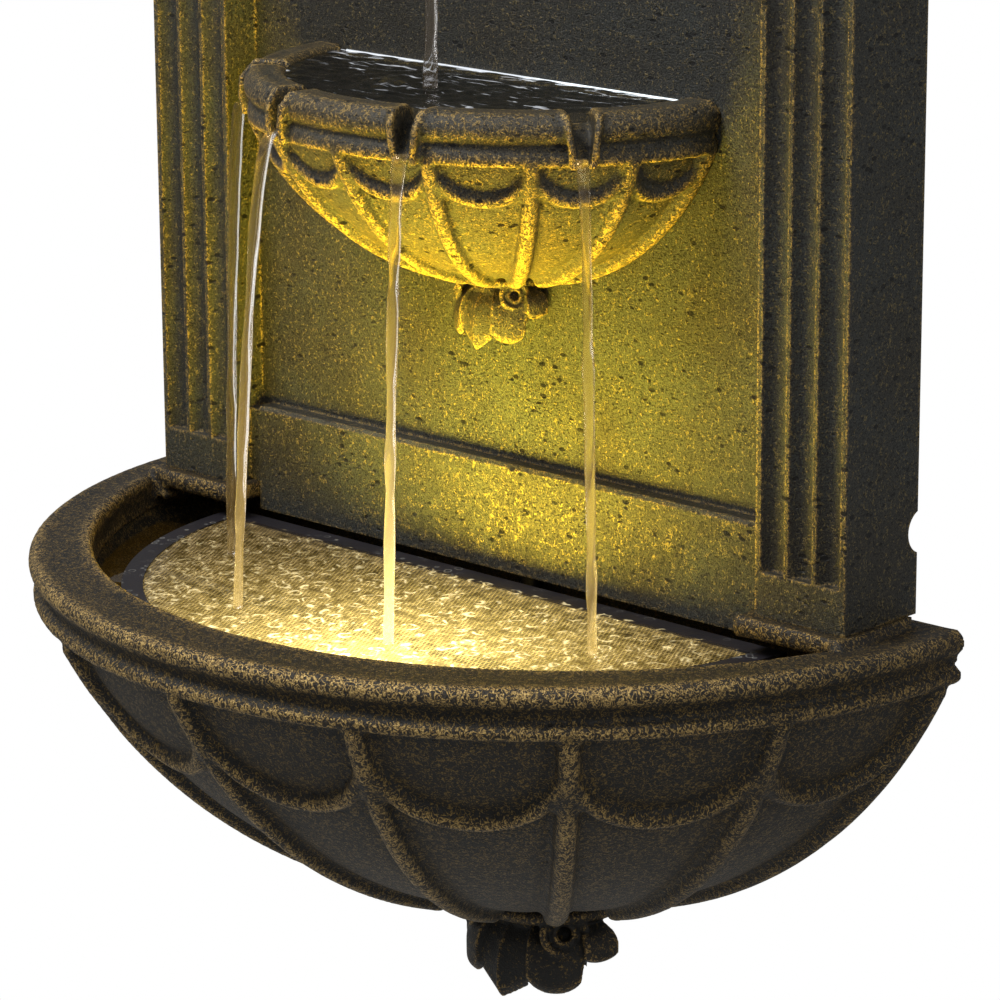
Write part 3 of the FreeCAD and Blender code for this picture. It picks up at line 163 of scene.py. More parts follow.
def cold_cast(name, paints, flat_gold, edge_gold, worn_from_mesh, share, wear, pitting, roughness):
    """Cold-cast resin with a brushed finish. paints are the two dark paints that cloud into each
    other, and flat_gold and edge_gold are the dim and the fair gold of flat places and of edges.
    share is how much of a flat place the brush caught, wear is what an edge adds to that, and
    pitting scales the room that air pits take. The wear is the mesh's own or found at sharp edges."""
    material, tree, shader = new_material(name)
    place = own_place(tree)

    def cloudy(period, detail, at=place, distortion=0.0):
        """A noise whose lumps are about a period in metres apart."""
        return lumps(tree, 1 / period, detail, at, Roughness=0.6, Distortion=distortion)

    grain = cloudy(0.0008, 2.0)
    patches = cloudy(0.012, 3.0)
    tones = cloudy(0.075, 3.0)
    # air pits, 1 to 3 mm wide and flattened, where the unevenness lets a cell of 8.5 mm have one,
    # and dots a millimetre wide in cells of 4 mm
    pit_room = stretched(tree, z=1.9)
    large = from_nearest(tree, 1 / 0.0085, pit_room)
    small = from_nearest(tree, 1 / 0.0040, pit_room)
    few = sums(tree, "MULTIPLY", step(tree, patches, 0.46, 0.58), 0.18 * pitting)
    pits = step(tree, sums(tree, "SUBTRACT", few, large), -0.03, 0.02)
    dots = step(tree, sums(tree, "SUBTRACT", 0.15 * pitting, small), -0.02, 0.03)
    pits = sums(tree, "MAXIMUM", pits, sums(tree, "MULTIPLY", dots, 0.8))

    if worn_from_mesh:
        worn = add(tree, "ShaderNodeAttribute", {"attribute_name": "worn"}).outputs["Fac"]
    else:
        worn = edge_wear(tree)
    # the brush leaves curls half a millimetre wide, where a noise of 2.6 mm crosses its middle
    # value, and a second noise breaks them up
    curls = cloudy(0.0026, 1.0, stretched(tree, z=0.8), 1.0)
    crossing = sums(tree, "ABSOLUTE", sums(tree, "SUBTRACT", curls, 0.5))
    crossing = sums(tree, "SUBTRACT", crossing, sums(tree, "MULTIPLY", worn, 0.03))
    caught = sums(tree, "ADD", share, sums(tree, "MULTIPLY", worn, wear))
    uneven = sums(tree, "MULTIPLY", sums(tree, "SUBTRACT", patches, 0.5), 0.8)
    caught = sums(tree, "ADD", caught, uneven)
    kept = sums(tree, "ADD", cloudy(0.0022, 2.0), sums(tree, "MULTIPLY", caught, 0.30))
    brushed = sums(tree, "MULTIPLY", step(tree, crossing, 0.060, 0.020), step(tree, kept, 0.58, 0.68))

    # paint, its dark hollows between the grains, the gold on top and the black inside the pits
    body = blended(tree, step(tree, tones, 0.38, 0.62), *paints)
    body = blended(tree, sums(tree, "MULTIPLY", worn, 0.18), body, edge_gold[0])
    body = blended(tree, step(tree, grain, 0.34, 0.58), "#070706", body)
    thin = step(tree, grain, 0.38, 0.62)
    gold = blended(tree, worn, blended(tree, thin, *flat_gold), blended(tree, thin, *edge_gold))
    colour = blended(tree, brushed, body, gold)
    colour = blended(tree, sums(tree, "MULTIPLY", pits, 0.9), colour, "#050505")
    tree.links.new(colour, shader.inputs["Base Color"])
    tree.links.new(sums(tree, "MULTIPLY", brushed, 0.40), shader.inputs["Metallic"])
    polish = sums(tree, "MULTIPLY", brushed, 0.10)
    tree.links.new(sums(tree, "SUBTRACT", roughness, polish), shader.inputs["Roughness"])
    shader.inputs["IOR"].default_value = 1.50
    shader.inputs["Specular IOR Level"].default_value = 0.40

    height = sums(tree, "SUBTRACT", grain, sums(tree, "MULTIPLY", pits, 0.8))
    height = sums(tree, "ADD", height, sums(tree, "MULTIPLY", patches, 0.9))
    height = sums(tree, "ADD", height, sums(tree, "MULTIPLY", brushed, 0.25))
    bump = bumpy(tree, shader, height, 0.8, 0.0008)
    if not worn_from_mesh:
        edge = add(tree, "ShaderNodeBevel", {"Radius": 0.0018, "samples": 4})
        tree.links.new(edge.outputs[0], bump.inputs["Normal"])
    return material


def only(piece):
    """Selects one object alone and makes it active."""
    bpy.ops.object.select_all(action="DESELECT")
    piece.select_set(True)
    bpy.context.view_layer.objects.active = piece


def edit_all(piece):
    """Opens a piece for editing with all of its mesh selected."""
    only(piece)
    bpy.ops.object.mode_set(mode="EDIT")
    bpy.ops.mesh.select_all(action="SELECT")


def applied(piece, kind, **settings):
    """Puts a modifier on a piece and applies it."""
    only(piece)
    modifier = piece.modifiers.new(kind.lower(), kind)
    for key, value in settings.items():
        setattr(modifier, key, value)
    bpy.ops.object.modifier_apply(modifier=modifier.name)


def coordinates(piece):
    """The mesh's points as rows of x, y, z."""
    points = np.empty(len(piece.data.vertices) * 3)
    piece.data.vertices.foreach_get("co", points)
    return points.reshape(-1, 3)


def move_points(piece, points):
    piece.data.vertices.foreach_set("co", points.ravel())
    piece.data.update()


def stands_proud(piece, reach):
    """The mesh's points, its normals and how far each point stands above the surface round it, which
    is an average over as many edges as reach says."""
    mesh = piece.data
    points = coordinates(piece)
    normals = np.empty(len(points) * 3)
    mesh.vertices.foreach_get("normal", normals)
    normals = normals.reshape(-1, 3)
    ends = np.empty(len(mesh.edges) * 2, dtype=np.int64)
    mesh.edges.foreach_get("vertices", ends)
    ends = ends.reshape(-1, 2)
    count = np.maximum(np.bincount(ends.ravel(), minlength=len(points)), 1).astype(float)

    def mean_round(values):
        total = np.zeros_like(values)
        for axis in range(values.shape[1]):
            total[:, axis] = (np.bincount(ends[:, 0], values[ends[:, 1], axis], len(points))
                              + np.bincount(ends[:, 1], values[ends[:, 0], axis], len(points)))
        return total / count[:, None]

    smooth = points
    for _ in range(reach):
        smooth = mean_round(smooth)
    proud = ((points - smooth) * normals).sum(axis=1)[:, None]
    for _ in range(2):
        proud = (proud + mean_round(proud)) / 2
    return points, normals, proud


def heighten(piece, reach, share, low, high):
    """Raises ribs and deepens hollows by a share of their height, because a remesh flattens them,
    within the box from low to high."""
    points, normals, proud = stands_proud(piece, reach)
    move_points(piece, np.clip(points + normals * proud * share, np.array(low), np.array(high)))


def mark_worn(piece, reach):
    """Stores where a brush touches, which is what stands proud: 1 for the 4 percent that do most."""
    proud = stands_proud(piece, reach)[2]
    worn = np.clip(proud[:, 0] / max(np.percentile(proud, 96), 1e-9), 0.0, 1.0)
    worn_at = piece.data.attributes.new("worn", "FLOAT", "POINT")
    worn_at.data.foreach_set("value", worn.astype(np.float32))


def run_together(piece, cell, passes):
    """Remeshes a closed piece at a cell size in metres and softens it, as a mould softens a pattern."""
    applied(piece, "REMESH", mode="VOXEL", voxel_size=cell)
    applied(piece, "SMOOTH", factor=0.5, iterations=passes)
    bpy.ops.object.shade_smooth()


def recast(node, name, cell, passes, reach, share=0.0, kept=1.0):
    """A copy of a CAD casting, remeshed so that its corners run together, with its ribs raised by a
    share, its wear marked and a kept share of its faces."""
    mesh = nodes[node].data.copy()
    mesh.materials.clear()
    piece = bpy.data.objects.new(name, mesh)
    bpy.context.scene.collection.objects.link(piece)
    edit_all(piece)
    bpy.ops.mesh.remove_doubles(threshold=0.00002)
    bpy.ops.object.mode_set(mode="OBJECT")
    run_together(piece, cell, passes)
    if share:
        heighten(piece, reach, share, *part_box(node))
    mark_worn(piece, reach)
    if kept < 1:
        applied(piece, "DECIMATE", ratio=kept)
    return piece


def dress(piece, material, slot, body, *replaced):
    """Gives a finished piece its material, its body and the nodes that it stands for; slot is not used.
    """
    piece.data.materials.clear()
    piece.data.materials.append(material)
    if replaced:
        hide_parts(*replaced)
    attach(piece, body)


basin_finish = cold_cast("cold_cast_resin_basin", ("#0E0F0C", "#1B160D"), ("#4A3B1C", "#846C3C"),
                         ("#6A5433", "#C8A968"), worn_from_mesh=True, share=0.62, wear=0.30,
                         pitting=1.0, roughness=0.56)
basin = recast("basin", "basin_cast", cell=0.0020, passes=1, reach=10, share=0.8, kept=0.53)
# The brush reached the front of the basin more than the ends and ledges that lie by the wall.
least_wear = 0.42
wear_starts = -0.070
wear_grows_over = 0.110
basin_worn = np.empty(len(basin.data.vertices), dtype=np.float32)
basin.data.attributes["worn"].data.foreach_get("value", basin_worn)
toward_front = np.clip((wear_starts - coordinates(basin)[:, 1]) / wear_grows_over, 0.0, 1.0)
basin_worn *= (least_wear + (1 - least_wear) * toward_front).astype(np.float32)
basin.data.attributes["worn"].data.foreach_set("value", basin_worn)
dress(basin, basin_finish, "cast_stone", "fountain", "basin")


# Backboard and cornice: flat castings of the same resin. The panel keeps more grey and more pits,
# and the gold lies along the arrises of the flutes, the apron, the plinths and the cornice.
def paint(material, *names):
    """Gives CAD nodes a material."""
    for name in names:
        nodes[name].material_slots[0].material = material


board_finish = cold_cast("cold_cast_resin_board", ("#383A37", "#35322A"), ("#504A34", "#7E6E46"),
                         ("#6A5A38", "#B89A5C"), worn_from_mesh=False, share=0.26, wear=0.7,
                         pitting=1.4, roughness=0.50)
paint(board_finish, "backboard", "cornice")


# Upper bowl: a smaller half-oval casting bolted to the panel, with four spilling chutes in its rim
# and the same ribs and swags as the basin.
bowl_finish = cold_cast("cold_cast_resin_bowl", ("#3E3D36", "#453D2C"), ("#5C4E2C", "#8C7644"),
                        ("#7A6438", "#C0A060"), worn_from_mesh=True, share=0.26, wear=0.45,
                        pitting=1.3, roughness=0.50)
upper_bowl = recast("upper_bowl", "upper_bowl_cast", cell=0.0014, passes=1, reach=9, share=0.7)
dress(upper_bowl, bowl_finish, "cast_stone", "fountain", "upper_bowl")


# Leaf ornaments: one design, cast in two sizes and glued under the two bowls. From a bar collar a
# ridged middle lobe hangs longest, with a broad lobe on each side of it, and beside those a rounded
# lobe that is rolled up into a scroll under the collar.
def made(primitive, **settings):
    """Adds one of Blender's primitives with nothing else selected."""
    bpy.ops.object.select_all(action="DESELECT")
    primitive(**settings)
    return bpy.context.object


def set_down(piece, middle, size):
    """Scales a primitive's mesh along each axis and moves it to its place."""
    piece.data.transform(Matrix.Translation(middle) @ Matrix.Diagonal((*size, 1)))
    return piece


def joined(first, *others):
    """Joins pieces into the first of them."""
    only(first)
    for piece in others:
        piece.select_set(True)
    bpy.ops.object.join()
    return first


def draped_lobes(half_width, depth, height, top, back):
    """The five lobes as one sheet bent round the front, its lower edge scalloped, then made solid."""
    sheet = made(bpy.ops.mesh.primitive_grid_add, x_subdivisions=240, y_subdivisions=110, size=2)
    points = coordinates(sheet)
    across = points[:, 0]
    down = (1 - points[:, 1]) / 2
    nearest = np.full(len(points), 9.0)
    length = np.zeros(len(points))
    proud = np.zeros(len(points))
    ridges = np.zeros(len(points))
    # each lobe: its middle, its half width, its length, how proud it lies, and its ridges
    lobes = ((0.0, 0.26, 1.0, 0.05, 2), (0.48, 0.25, 0.86, 0.10, 1), (-0.48, 0.25, 0.86, 0.10, 1),
             (0.86, 0.19, 0.50, 0.15, 1), (-0.86, 0.19, 0.50, 0.15, 1))
    for middle, half, long, stands, ridge_count in lobes:
        inside = (across - middle) / half
        closer = np.abs(inside) < np.abs(nearest)
        nearest = np.where(closer, inside, nearest)
        length = np.where(closer, long, length)
        proud = np.where(closer, stands, proud)
        ridges = np.where(closer, ridge_count, ridges)
    # the middle lobe ends in a blunt point and the others in a round
    blunt = 1 - 0.8 * np.abs(nearest)
    round_end = np.where(ridges > 1, blunt, np.sqrt(np.clip(1 - nearest ** 2, 0, 1)))
    # hollow facets that meet in thin ridges, which fan out from the collar
    facet = np.abs(np.sin(ridges * math.pi * nearest / 2 + math.pi / 2 * (ridges == 1))) ** 0.6
    fan = 0.075 * (1 - facet)
    bulge = 0.07 * np.sqrt(np.clip(1 - 0.92 * nearest ** 2, 0, 1))
    section = bulge + fan * (1 - 0.5 * down) + proud
    flare = 0.56 + 0.27 * np.sin(np.clip(down * 1.5, 0, 1) * math.pi / 2)
    curl = 0.10 * np.clip((down - 0.84) / 0.16, 0, 1) ** 2
    reach = flare + section * np.clip(0.35 + down * 2.0, 0, 1) - curl
    angle = across * math.radians(88)
    points[:, 0] = half_width * reach * np.sin(angle)
    points[:, 1] = back - depth * (0.04 + 0.96 * reach * np.cos(angle))
    points[:, 2] = top - height * down * length * (0.74 + 0.26 * round_end)
    move_points(sheet, points)
    applied(sheet, "SOLIDIFY", thickness=0.20 * half_width, offset=-1.0)
    return sheet


def scroll(radius, wire, middle, azimuth):
    """A rolled end seen from its side: two rings, one inside the other, facing an azimuth."""
    facing = Matrix.Rotation(azimuth, 4, "Z") @ Matrix.Rotation(math.radians(78), 4, "X")
    rings = []
    for ring, thick in ((radius, wire), (radius * 0.50, wire * 0.75)):
        piece = made(bpy.ops.mesh.primitive_torus_add, major_radius=ring, minor_radius=thick,
                     major_segments=48, minor_segments=14)
        piece.data.transform(Matrix.Translation(middle) @ facing)
        rings.append(piece)
    return rings


def hanging_leaf(name, half_width, depth, height, top, back, cell, lid):
    """The whole ornament, from its collar at top down by height, against the plane y = back. lid is
    how far it runs up into the bowl that carries it."""
    w, d, h = half_width, depth, height

    def at(x, y, z):
        return (x * w, back - y * d, top - z * h)

    parts = [draped_lobes(w, d, h, top, back)]
    for side in (-1, 1):
        parts += scroll(0.23 * w, 0.050 * w, at(side * 0.66, 0.58, 0.14), side * math.radians(52))
    core = made(bpy.ops.mesh.primitive_uv_sphere_add, segments=40, ring_count=24, radius=1.0)
    parts.append(set_down(core, at(0, 0.05, 0.16), (0.74 * w, 0.72 * d, 0.36 * h)))
    collar = made(bpy.ops.mesh.primitive_torus_add, major_radius=1.0, minor_radius=0.115,
                  major_segments=72, minor_segments=14)
    parts.append(set_down(collar, at(0, 0, -0.04), (0.80 * w, 0.90 * d, 0.80 * w)))
    neck = made(bpy.ops.mesh.primitive_cylinder_add, vertices=64, radius=1.0, depth=1.0)
    parts.append(set_down(neck, (0, back, top + lid / 2), (0.76 * w, 0.84 * d, lid)))
    leaf = joined(*parts)
    leaf.name = name
    run_together(leaf, cell, 2)
    edit_all(leaf)
    bpy.ops.mesh.bisect(plane_co=(0, back, 0), plane_no=(0, 1, 0), clear_outer=True, use_fill=True)
    bpy.ops.object.mode_set(mode="OBJECT")
    mark_worn(leaf, 8)
    return leaf


basin_leaf = hanging_leaf("basin_leaf", half_width=0.0475, depth=0.0440, height=0.0463, top=-0.204,
                          back=-0.001, cell=0.0009, lid=0.012)
leaf_finish = cold_cast("cold_cast_resin_leaf", ("#0E0F0C", "#1B160D"), ("#4A3B1C", "#7A6436"),
                        ("#6A5433", "#B4955A"), worn_from_mesh=True, share=0.15, wear=0.60,
                        pitting=0.5, roughness=0.50)
dress(basin_leaf, leaf_finish, "cast_stone", "fountain", "basin_leaf")
bowl_leaf = hanging_leaf("bowl_leaf", half_width=0.0280, depth=0.0265, height=0.0345, top=0.137,
                         back=-0.0331, cell=0.0006, lid=0.008)
dress(bowl_leaf, bowl_finish, "cast_stone", "fountain", "bowl_leaf")


# Rosette: a cast flower of eight petals round the spout, of the same resin and finish as the upper
# bowl, glued to the panel.
rosette = recast("rosette", "rosette_cast", cell=0.0010, passes=2, reach=8)
dress(rosette, bowl_finish, "cast_stone", "fountain", "rosette")


# Spout, its nut and the bowl's inserts: turned brass, gone dull and brown in the wet. The marks of
# the tool run round the pipe, and lime stands in spots.
def turned_brass(name):
    """Brass that clouds from bright to brown, with spots of lime."""
    material, tree, shader = new_material(name)
    rings = lumps(tree, 1.0, 2.0, stretched(tree, 60, 3000, 60))
    stain = lumps(tree, 1 / 0.009, 5.0, own_place(tree))
    colour = blended(tree, step(tree, stain, 0.40, 0.66), "#B08D4C", "#6A5130")
    colour = blended(tree, step(tree, stain, 0.66, 0.74), colour, "#9AA08A")
    tree.links.new(colour, shader.inputs["Base Color"])
    shader.inputs["Metallic"].default_value = 1.0
    tree.links.new(step(tree, stain, 0.2, 1.1), shader.inputs["Roughness"])
    bumpy(tree, shader, rings, 0.3, 0.0002)
    return material


paint(turned_brass("turned_brass"), "spout_pipe", "spout_nut", "bowl_inserts")


# Rubber, plastics and hose: the washer, the suction cups and the glands are moulded rubber, the
# pump, the lamp, the clips, the elbow and the screen's frame are moulded black plastic with a fine
# spark grain, and the hose is extruded vinyl. All of them carry a little lime from the water.
def moulded(name, colour, dust, roughness, grain_mm, depth_mm, lime):
    """A moulded material that clouds from a colour to a dusty one, with rings of dried drops."""
    material, tree, shader = new_material(name)
    plain = own_place(tree)
    grain = lumps(tree, 1000 / grain_mm, 2.0, plain)
    cloud = lumps(tree, 1 / 0.025, 4.0, plain)
    drops = from_nearest(tree, 1 / 0.006, plain)
    ring = sums(tree, "MULTIPLY", step(tree, drops, 0.36, 0.30), step(tree, drops, 0.20, 0.30))
    ring = sums(tree, "MULTIPLY", ring, step(tree, cloud, 0.46, 0.62))
    tone = blended(tree, step(tree, cloud, 0.3, 0.75), colour, dust)
    tone = blended(tree, sums(tree, "MULTIPLY", ring, lime), tone, "#8E8F8A")
    tree.links.new(tone, shader.inputs["Base Color"])
    uneven = sums(tree, "ADD", roughness - 0.08, sums(tree, "MULTIPLY", cloud, 0.16))
    tree.links.new(uneven, shader.inputs["Roughness"])
    shader.inputs["IOR"].default_value = 1.5
    bumpy(tree, shader, grain, 0.6, depth_mm / 1000)
    return material


rubber_finish = moulded("moulded_rubber", "#131313", "#1D1D1C", roughness=0.72, grain_mm=0.9,
                        depth_mm=0.05, lime=0.15)
paint(rubber_finish, "spout_washer", "pump_cups", "pump_gland", "lamp_cup", "lamp_gland")
housing_finish = moulded("moulded_black_abs", "#141516", "#222323", roughness=0.50, grain_mm=1.0,
                         depth_mm=0.08, lime=0.25)
paint(housing_finish, "spout_elbow", "hose_clips", "pump_body", "pump_cover", "lamp_bracket",
      "lamp_head")
knob_finish = moulded("moulded_grey_abs", "#6B6E70", "#7A7B7A", roughness=0.48, grain_mm=1.0,
                      depth_mm=0.08, lime=0.2)
paint(knob_finish, "pump_knob")
impeller_finish = moulded("moulded_white_acetal", "#D9D8D0", "#C8C5B8", roughness=0.40, grain_mm=1.2,
                          depth_mm=0.04, lime=0.1)
paint(impeller_finish, "pump_impeller")
hose_finish = moulded("extruded_vinyl_hose", "#1A1C1B", "#252725", roughness=0.28, grain_mm=3.0,
                      depth_mm=0.05, lime=0.3)
paint(hose_finish, "hose")
frame_finish = moulded("moulded_black_polypropylene", "#120F15", "#1A161D", roughness=0.55,
                       grain_mm=1.4, depth_mm=0.20, lime=0.6)
paint(frame_finish, "screen_frame")


# Steel and magnet: zinc-plated screws, washers, clamps, hanger plates and the pump's shaft, with a
# faint rainbow-grey bloom, and a sintered ferrite magnet. The screws' threads are 1 mm apart.
def zinc_plate(name, thread_axis=None):
    """Zinc-plated steel, with a thread along an axis if one is given."""
    material, tree, shader = new_material(name)
    bloom = lumps(tree, 1 / 0.004, 4.0, own_place(tree))
    colour = blended(tree, step(tree, bloom, 0.35, 0.65), "#B9BCC0", "#8A8C8A")
    colour = blended(tree, step(tree, bloom, 0.66, 0.74), colour, "#6B5238")
    tree.links.new(colour, shader.inputs["Base Color"])
    shader.inputs["Metallic"].default_value = 1.0
    tree.links.new(step(tree, bloom, -0.2, 1.4), shader.inputs["Roughness"])
    if thread_axis:
        # a wave texture has its bands 0.314 over its scale apart
        wave = add(tree, "ShaderNodeTexWave", {"Scale": 314.0, "bands_direction": thread_axis},
                   Vector=own_place(tree))
        bumpy(tree, shader, wave.outputs["Fac"], 0.8, 0.0004)
    else:
        bumpy(tree, shader, bloom, 0.8, 0.0001)
    return material


paint(zinc_plate("zinc_plated_steel"), "bowl_washers", "hanger_plates", "hose_clamps", "pump_shaft")
paint(zinc_plate("zinc_plated_screw", "Y"), "bowl_bolts", "hanger_screws")
magnet_finish = moulded("sintered_ferrite", "#232327", "#2E2E33", roughness=0.45, grain_mm=0.8,
                        depth_mm=0.05, lime=0.0)
paint(magnet_finish, "pump_magnet")


# Screen mesh: a sheet of thin black-coated aluminium punched all over with round holes, 2.4 mm from
# one to the next in staggered rows, clipped into the frame. Wet, it glitters, and the lamp's light that
# shines up through it is painted on as glow.
pitch = 0.0024
row_step = pitch * math.sqrt(3)
half_bridge = pitch * 0.17
sheet_low, sheet_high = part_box("screen_mesh")
sheet_radius = 0.1865
sheet_middle = -0.040
# one cell is a hexagon with a six-sided hole, which looks round at this size, and the arrays repeat
# it as a staggered pair, along a row and over the rows
sheet = made(bpy.ops.mesh.primitive_circle_add, vertices=6, radius=pitch / math.sqrt(3),
             fill_type="NGON")
sheet.name = "screen_mesh_sheet"
edit_all(sheet)
bpy.ops.transform.rotate(value=math.pi / 6, orient_axis="Z", center_override=(0, 0, 0))
bpy.ops.mesh.inset(thickness=half_bridge, depth=0)
bpy.ops.mesh.delete(type="FACE")
bpy.ops.object.mode_set(mode="OBJECT")
columns = int(2 * sheet_radius / pitch) + 2
rows = int((sheet_radius + 0.01) / row_step) + 2
for count, step_by in ((2, (pitch / 2, row_step / 2, 0)), (columns, (pitch, 0, 0)),
                       (rows, (0, row_step, 0))):
    applied(sheet, "ARRAY", count=count, use_relative_offset=False, use_constant_offset=True,
            constant_offset_displace=step_by)
points = coordinates(sheet)
sheet_level = (sheet_low[2] + sheet_high[2]) / 2 + 0.0004
points += np.array([-points[:, 0].max() / 2, sheet_low[1] + 0.0005, sheet_level])
move_points(sheet, points)
# what lies outside the half disc goes
beyond_arc = np.hypot(points[:, 0], points[:, 1] - sheet_middle) > sheet_radius
beyond_back = points[:, 1] > sheet_high[1] - 0.001
edit_all(sheet)
bpy.ops.mesh.select_all(action="DESELECT")
bpy.ops.object.mode_set(mode="OBJECT")
sheet.data.vertices.foreach_set("select", beyond_arc | beyond_back)
bpy.ops.object.mode_set(mode="EDIT")
bpy.ops.mesh.delete(type="VERT")
bpy.ops.mesh.select_all(action="SELECT")
bpy.ops.mesh.remove_doubles(threshold=0.00005)
bpy.ops.object.mode_set(mode="OBJECT")


def lamp_fall(tree):
    """A mask for painted glow: 1 where the drowned lamp shines brightest through the screen, falling to 0
    a glow's reach away.
    """
    brightest = (0.045, -0.185)
    glow_reach = 0.34
    glow_power = 4.0
    near = add(tree, "ShaderNodeMapping", {"Location": (-brightest[0], -brightest[1], 0.0)},
               Vector=own_place(tree))
    away = add(tree, "ShaderNodeVectorMath", {"operation": "LENGTH"})
    tree.links.new(near.outputs[0], away.inputs[0])
    return sums(tree, "POWER", step(tree, away.outputs["Value"], glow_reach, 0.0), glow_power)


punched, tree, shader = new_material("punched_coated_aluminium")
spots = lumps(tree, 1 / 0.006, 3.0, own_place(tree))
# painted highlight: the coat clouds at random from its dark colour to a pale one that stands in for the
# wet sheet's glitter
coat = blended(tree, step(tree, spots, 0.4, 0.65), "#3A362E", "#A79F8C")
tree.links.new(coat, shader.inputs["Base Color"])
shader.inputs["Metallic"].default_value = 0.6
tree.links.new(step(tree, spots, -0.1, 1.6), shader.inputs["Roughness"])
bumpy(tree, shader, spots, 0.5, 0.0006)
# painted glow: the lamp's light through the sheet is emission, brightest and palest over the lamp, and
# only on the coat's pale spots
fall = lamp_fall(tree)
lit_colour = blended(tree, sums(tree, "POWER", fall, 0.5), "#C2982E", "#FFE27C")
tree.links.new(lit_colour, shader.inputs["Emission Color"])
lit = sums(tree, "ADD", sums(tree, "MULTIPLY", fall, 3.6), 0.36)
lit = sums(tree, "MULTIPLY", lit, step(tree, spots, 0.20, 0.66))
tree.links.new(lit, shader.inputs["Emission Strength"])
dress(sheet, punched, "screen_metal", "screen", "screen_mesh")


# Water: still pools in the two bowls, a wet film of blobs that clings to the punched screen, and
# five thin streams, one from the spout and one from each chute. Clear, with an index of 1.33.
def film_light(tree, fall, light, colour, blobs):
    """How brightly a film's painted glow shines, in what colour, and the share of it that is seen
    through: its blobs, of a given size, carry painted glints at their outlines and are clear between."""
    cells = from_nearest(tree, 1 / blobs, stretched(tree, z=0.0))
    uneven = lumps(tree, 1.6 / blobs, 2.0, own_place(tree))
    bend = sums(tree, "MULTIPLY", sums(tree, "SUBTRACT", uneven, 0.5), 0.5)
    bent = sums(tree, "SUBTRACT", sums(tree, "ADD", cells, bend), 0.40)
    outline = step(tree, sums(tree, "ABSOLUTE", bent), 0.13, 0.03)
    outline = sums(tree, "MULTIPLY", outline, step(tree, uneven, 0.42, 0.56))
    # painted glints: the blobs' outlines glow pale
    colour = blended(tree, outline, colour, "#FFEDB4")
    light = sums(tree, "MULTIPLY", sums(tree, "ADD", light, 0.26), sums(tree, "ADD", outline, 0.08))
    # painted glow, strongest over the lamp
    over_lamp = sums(tree, "MULTIPLY", sums(tree, "POWER", fall, 2.0), 3.2)
    seen_through = sums(tree, "SUBTRACT", 0.85, sums(tree, "MULTIPLY", outline, 0.75))
    return sums(tree, "ADD", light, over_lamp), colour, seen_through


def painted_sky_glints(tree, edge):
    """Painted reflection: how brightly the sky is painted on as glints along the crests of a pool's
    ripples, which lie across the camera's view, and as a painted highlight on the pool's straight edge,
    the plane y = edge."""
    crest_length = 0.022
    crest_width = 0.0050
    place = own_place(tree)
    settings = {"Rotation": (0, 0, -view_azimuth), "Scale": (1 / crest_length, 1 / crest_width, 1.0)}
    crests = add(tree, "ShaderNodeMapping", settings, Vector=place).outputs[0]
    # painted glints: pale emission on the high streaks of a stretched noise
    glint_streaks = lumps(tree, 1.0, 3.0, crests, Distortion=1.2)
    forward = add(tree, "ShaderNodeSeparateXYZ", Vector=place).outputs["Y"]
    # painted highlight: a thin pale line along the pool's straight edge
    edge_glint = sums(tree, "MULTIPLY", step(tree, forward, edge - 0.0014, edge - 0.0008), 0.8)
    return sums(tree, "MAXIMUM", sums(tree, "MULTIPLY", step(tree, glint_streaks, 0.62, 0.70), 0.55), edge_glint)


def clear_water(name, tint, glow=0.0, base_glow=0.0, blobs=None, behind=None, veil=0.0, edge=None):
    """Water that lets the lamps' light through. The lamp's light that the water scatters is painted on as
    glow: glow over the lamp and base_glow everywhere, and none behind the plane y = behind. A film has
    blobs of a given size, with painted glints at their outlines, veil is the share of a thin stream that
    is plainly seen through, and a pool that ends at the plane y = edge has a painted reflection of the
    sky there and on its ripples."""
    material, tree, shader = new_material(name)
    bumpy(tree, shader, lumps(tree, 1 / 0.010, 2.0, own_place(tree)), 0.35, 0.001)
    shader.inputs["Base Color"].default_value = srgb(tint)
    shader.inputs["Roughness"].default_value = 0.02
    shader.inputs["IOR"].default_value = 1.33
    shader.inputs["Transmission Weight"].default_value = 1.0
    seen_through = veil
    if glow:
        fall = lamp_fall(tree)
        light = sums(tree, "ADD", sums(tree, "MULTIPLY", fall, glow), base_glow)
        colour = blended(tree, sums(tree, "POWER", fall, 0.5), "#B47E10", "#FFE08A")
        if blobs:
            light, colour, seen_through = film_light(tree, fall, light, colour, blobs)
        if behind:
            forward = add(tree, "ShaderNodeSeparateXYZ", Vector=own_place(tree)).outputs["Y"]
            light = sums(tree, "MULTIPLY", light, step(tree, forward, behind, behind - 0.012))
        tree.links.new(colour, shader.inputs["Emission Color"])
        tree.links.new(light, shader.inputs["Emission Strength"])
    if edge:
        shader.inputs["Emission Color"].default_value = srgb("#EEF2FA")
        tree.links.new(painted_sky_glints(tree, edge), shader.inputs["Emission Strength"])
    clear = add(tree, "ShaderNodeBsdfTransparent")
    shadow = add(tree, "ShaderNodeLightPath").outputs["Is Shadow Ray"]
    passes = add(tree, "ShaderNodeMixShader", Fac=sums(tree, "MAXIMUM", shadow, seen_through))
    tree.links.new(shader.outputs[0], passes.inputs[1])
    tree.links.new(clear.outputs[0], passes.inputs[2])
    tree.links.new(passes.outputs[0], tree.nodes["Material Output"].inputs["Surface"])
    return material


